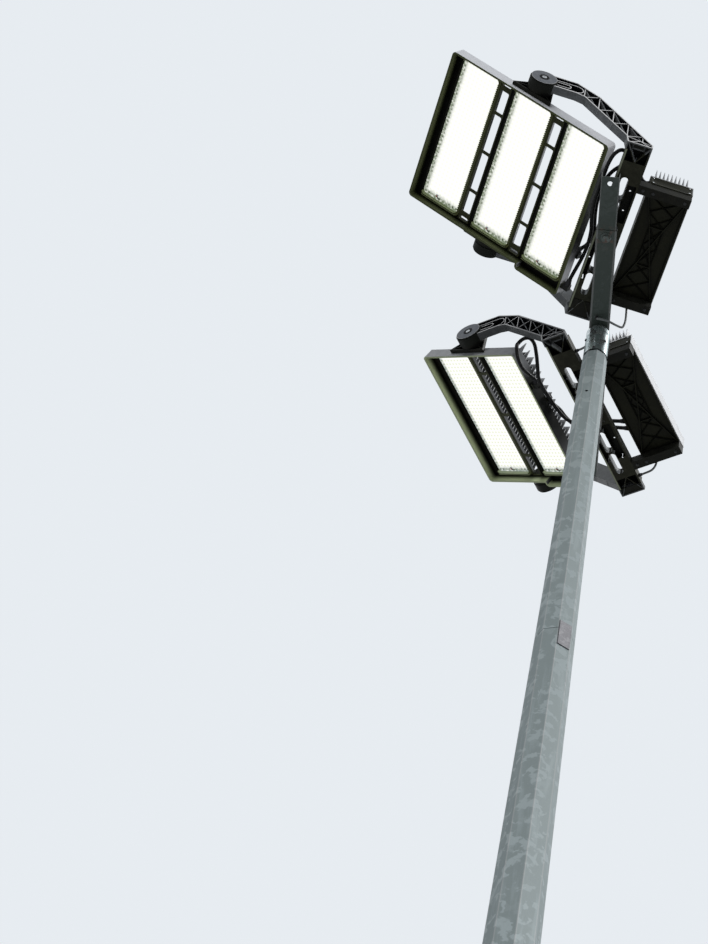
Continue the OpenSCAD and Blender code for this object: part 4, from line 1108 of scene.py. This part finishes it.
plate = rounded(sink_w, sink_l, 4)
for side in SIDES:
    bm = bmesh.new()
    for number, module in enumerate(across_lamp(side, modules[side], sink_back)):
        stack(bm, [(plate, 0), (plate, sink_base)], module)
        for k, u in enumerate(in_line(fin_count, fin_pitch)):
            if u > fin_end[side]:
                continue
            top_half, rise = fin_kinds[side][k % 2]
            low = min(rise, u + wall_u - sink_base - 2)
            low_half = top_half + (fin_foot - top_half) * (rise - low) / rise
            fins = [(-fin_foot, -low_half, low_half, low)]
            if side == "far" and number == 1 and teeth[0] < u < teeth[1]:
                fins.append((top_half - 26, top_half - 5, top_half, rise))
            for foot_start, top_start, top_end, high in fins:
                side_view = ((foot_start, sink_base - 0.5), (fin_foot, sink_base - 0.5),
                             (top_end, sink_base + high), (top_start, sink_base + high))
                skin(bm, [[bm.verts.new(module @ Vector((x, u + s * half, z)))
                           for (x, z), half in zip(side_view, fin_half)] for s in (-1, 1)])
    metal = cast_finish(side + "_sink_metal", sink_shades[side], rough=0.45, gloss=0.2)
    carried(side + "_fin_sinks", bm, [metal], side + "_lamp", side + "_heat_sinks")

# A plain pale floor that is clear from below, a pale background and soft lamps: a high key from the
# driver boxes' side, a fill from the front and a weaker one from behind.
floor_half = 30.0
background = (0.8, 0.84, 0.88, 1)

bm = bmesh.new()
bmesh.ops.create_grid(bm, x_segments=1, y_segments=1, size=floor_half)
floor_paint, tree, surface = new_material("floor_paint")
feed(tree, surface, Base_Color=(0.2, 0.2, 0.2, 1), Roughness=0.9)
path = add(tree, "ShaderNodeLightPath").outputs
seen = calc(tree, "MAXIMUM", path["Is Camera Ray"], path["Is Glossy Ray"])
pale = add(tree, "ShaderNodeBsdfDiffuse", Color=(0.44, 0.46, 0.48, 1))
haze = add(tree, "ShaderNodeEmission", Color=background, Strength=0.3)
shown = add(tree, "ShaderNodeAddShader", i0=pale.outputs[0], i1=haze.outputs[0])
both = add(tree, "ShaderNodeMixShader", Fac=seen, i1=surface.outputs[0], i2=shown.outputs[0])
below = add(tree, "ShaderNodeNewGeometry").outputs["Backfacing"]
clear = add(tree, "ShaderNodeBsdfTransparent")
open_below = add(tree, "ShaderNodeMixShader", Fac=below, i1=both.outputs[0], i2=clear.outputs[0])
feed(tree, tree.nodes["Material Output"], Surface=open_below.outputs[0])
floor = new_piece("floor", bm, [floor_paint])

world = bpy.data.worlds.new("pale_surround")
bpy.context.scene.world = world
world.use_nodes = True
tree = world.node_tree
tree.nodes.clear()
path = add(tree, "ShaderNodeLightPath").outputs
seen = calc(tree, "MAXIMUM", path["Is Camera Ray"], path["Is Glossy Ray"])
seen = calc(tree, "MAXIMUM", seen, path["Is Transmission Ray"])
shown = add(tree, "ShaderNodeBackground", Color=background, Strength=1.0)
lighting = add(tree, "ShaderNodeBackground", Color=(0.9, 0.95, 1.0, 1), Strength=0.28)
both = add(tree, "ShaderNodeMixShader", Fac=seen, i1=lighting.outputs[0], i2=shown.outputs[0])
add(tree, "ShaderNodeOutputWorld", Surface=both.outputs[0])


def sun(name, azimuth, elevation, strength, spread):
    """A soft distant lamp. Azimuth 0 shines from -Y, 90 from +X."""
    data = bpy.data.lights.new(name, "SUN")
    data.energy = strength
    data.angle = math.radians(spread)
    lamp = bpy.data.objects.new(name, data)
    a, e = math.radians(azimuth), math.radians(elevation)
    towards = Vector((math.sin(a) * math.cos(e), -math.cos(a) * math.cos(e), math.sin(e)))
    lamp.rotation_euler = towards.to_track_quat("Z", "Y").to_euler()
    bpy.context.scene.collection.objects.link(lamp)


sun("key", 86, 46, 2.6, 8)
sun("fill", -20, 28, 1.25, 30)
sun("back", 200, 30, 0.8, 40)
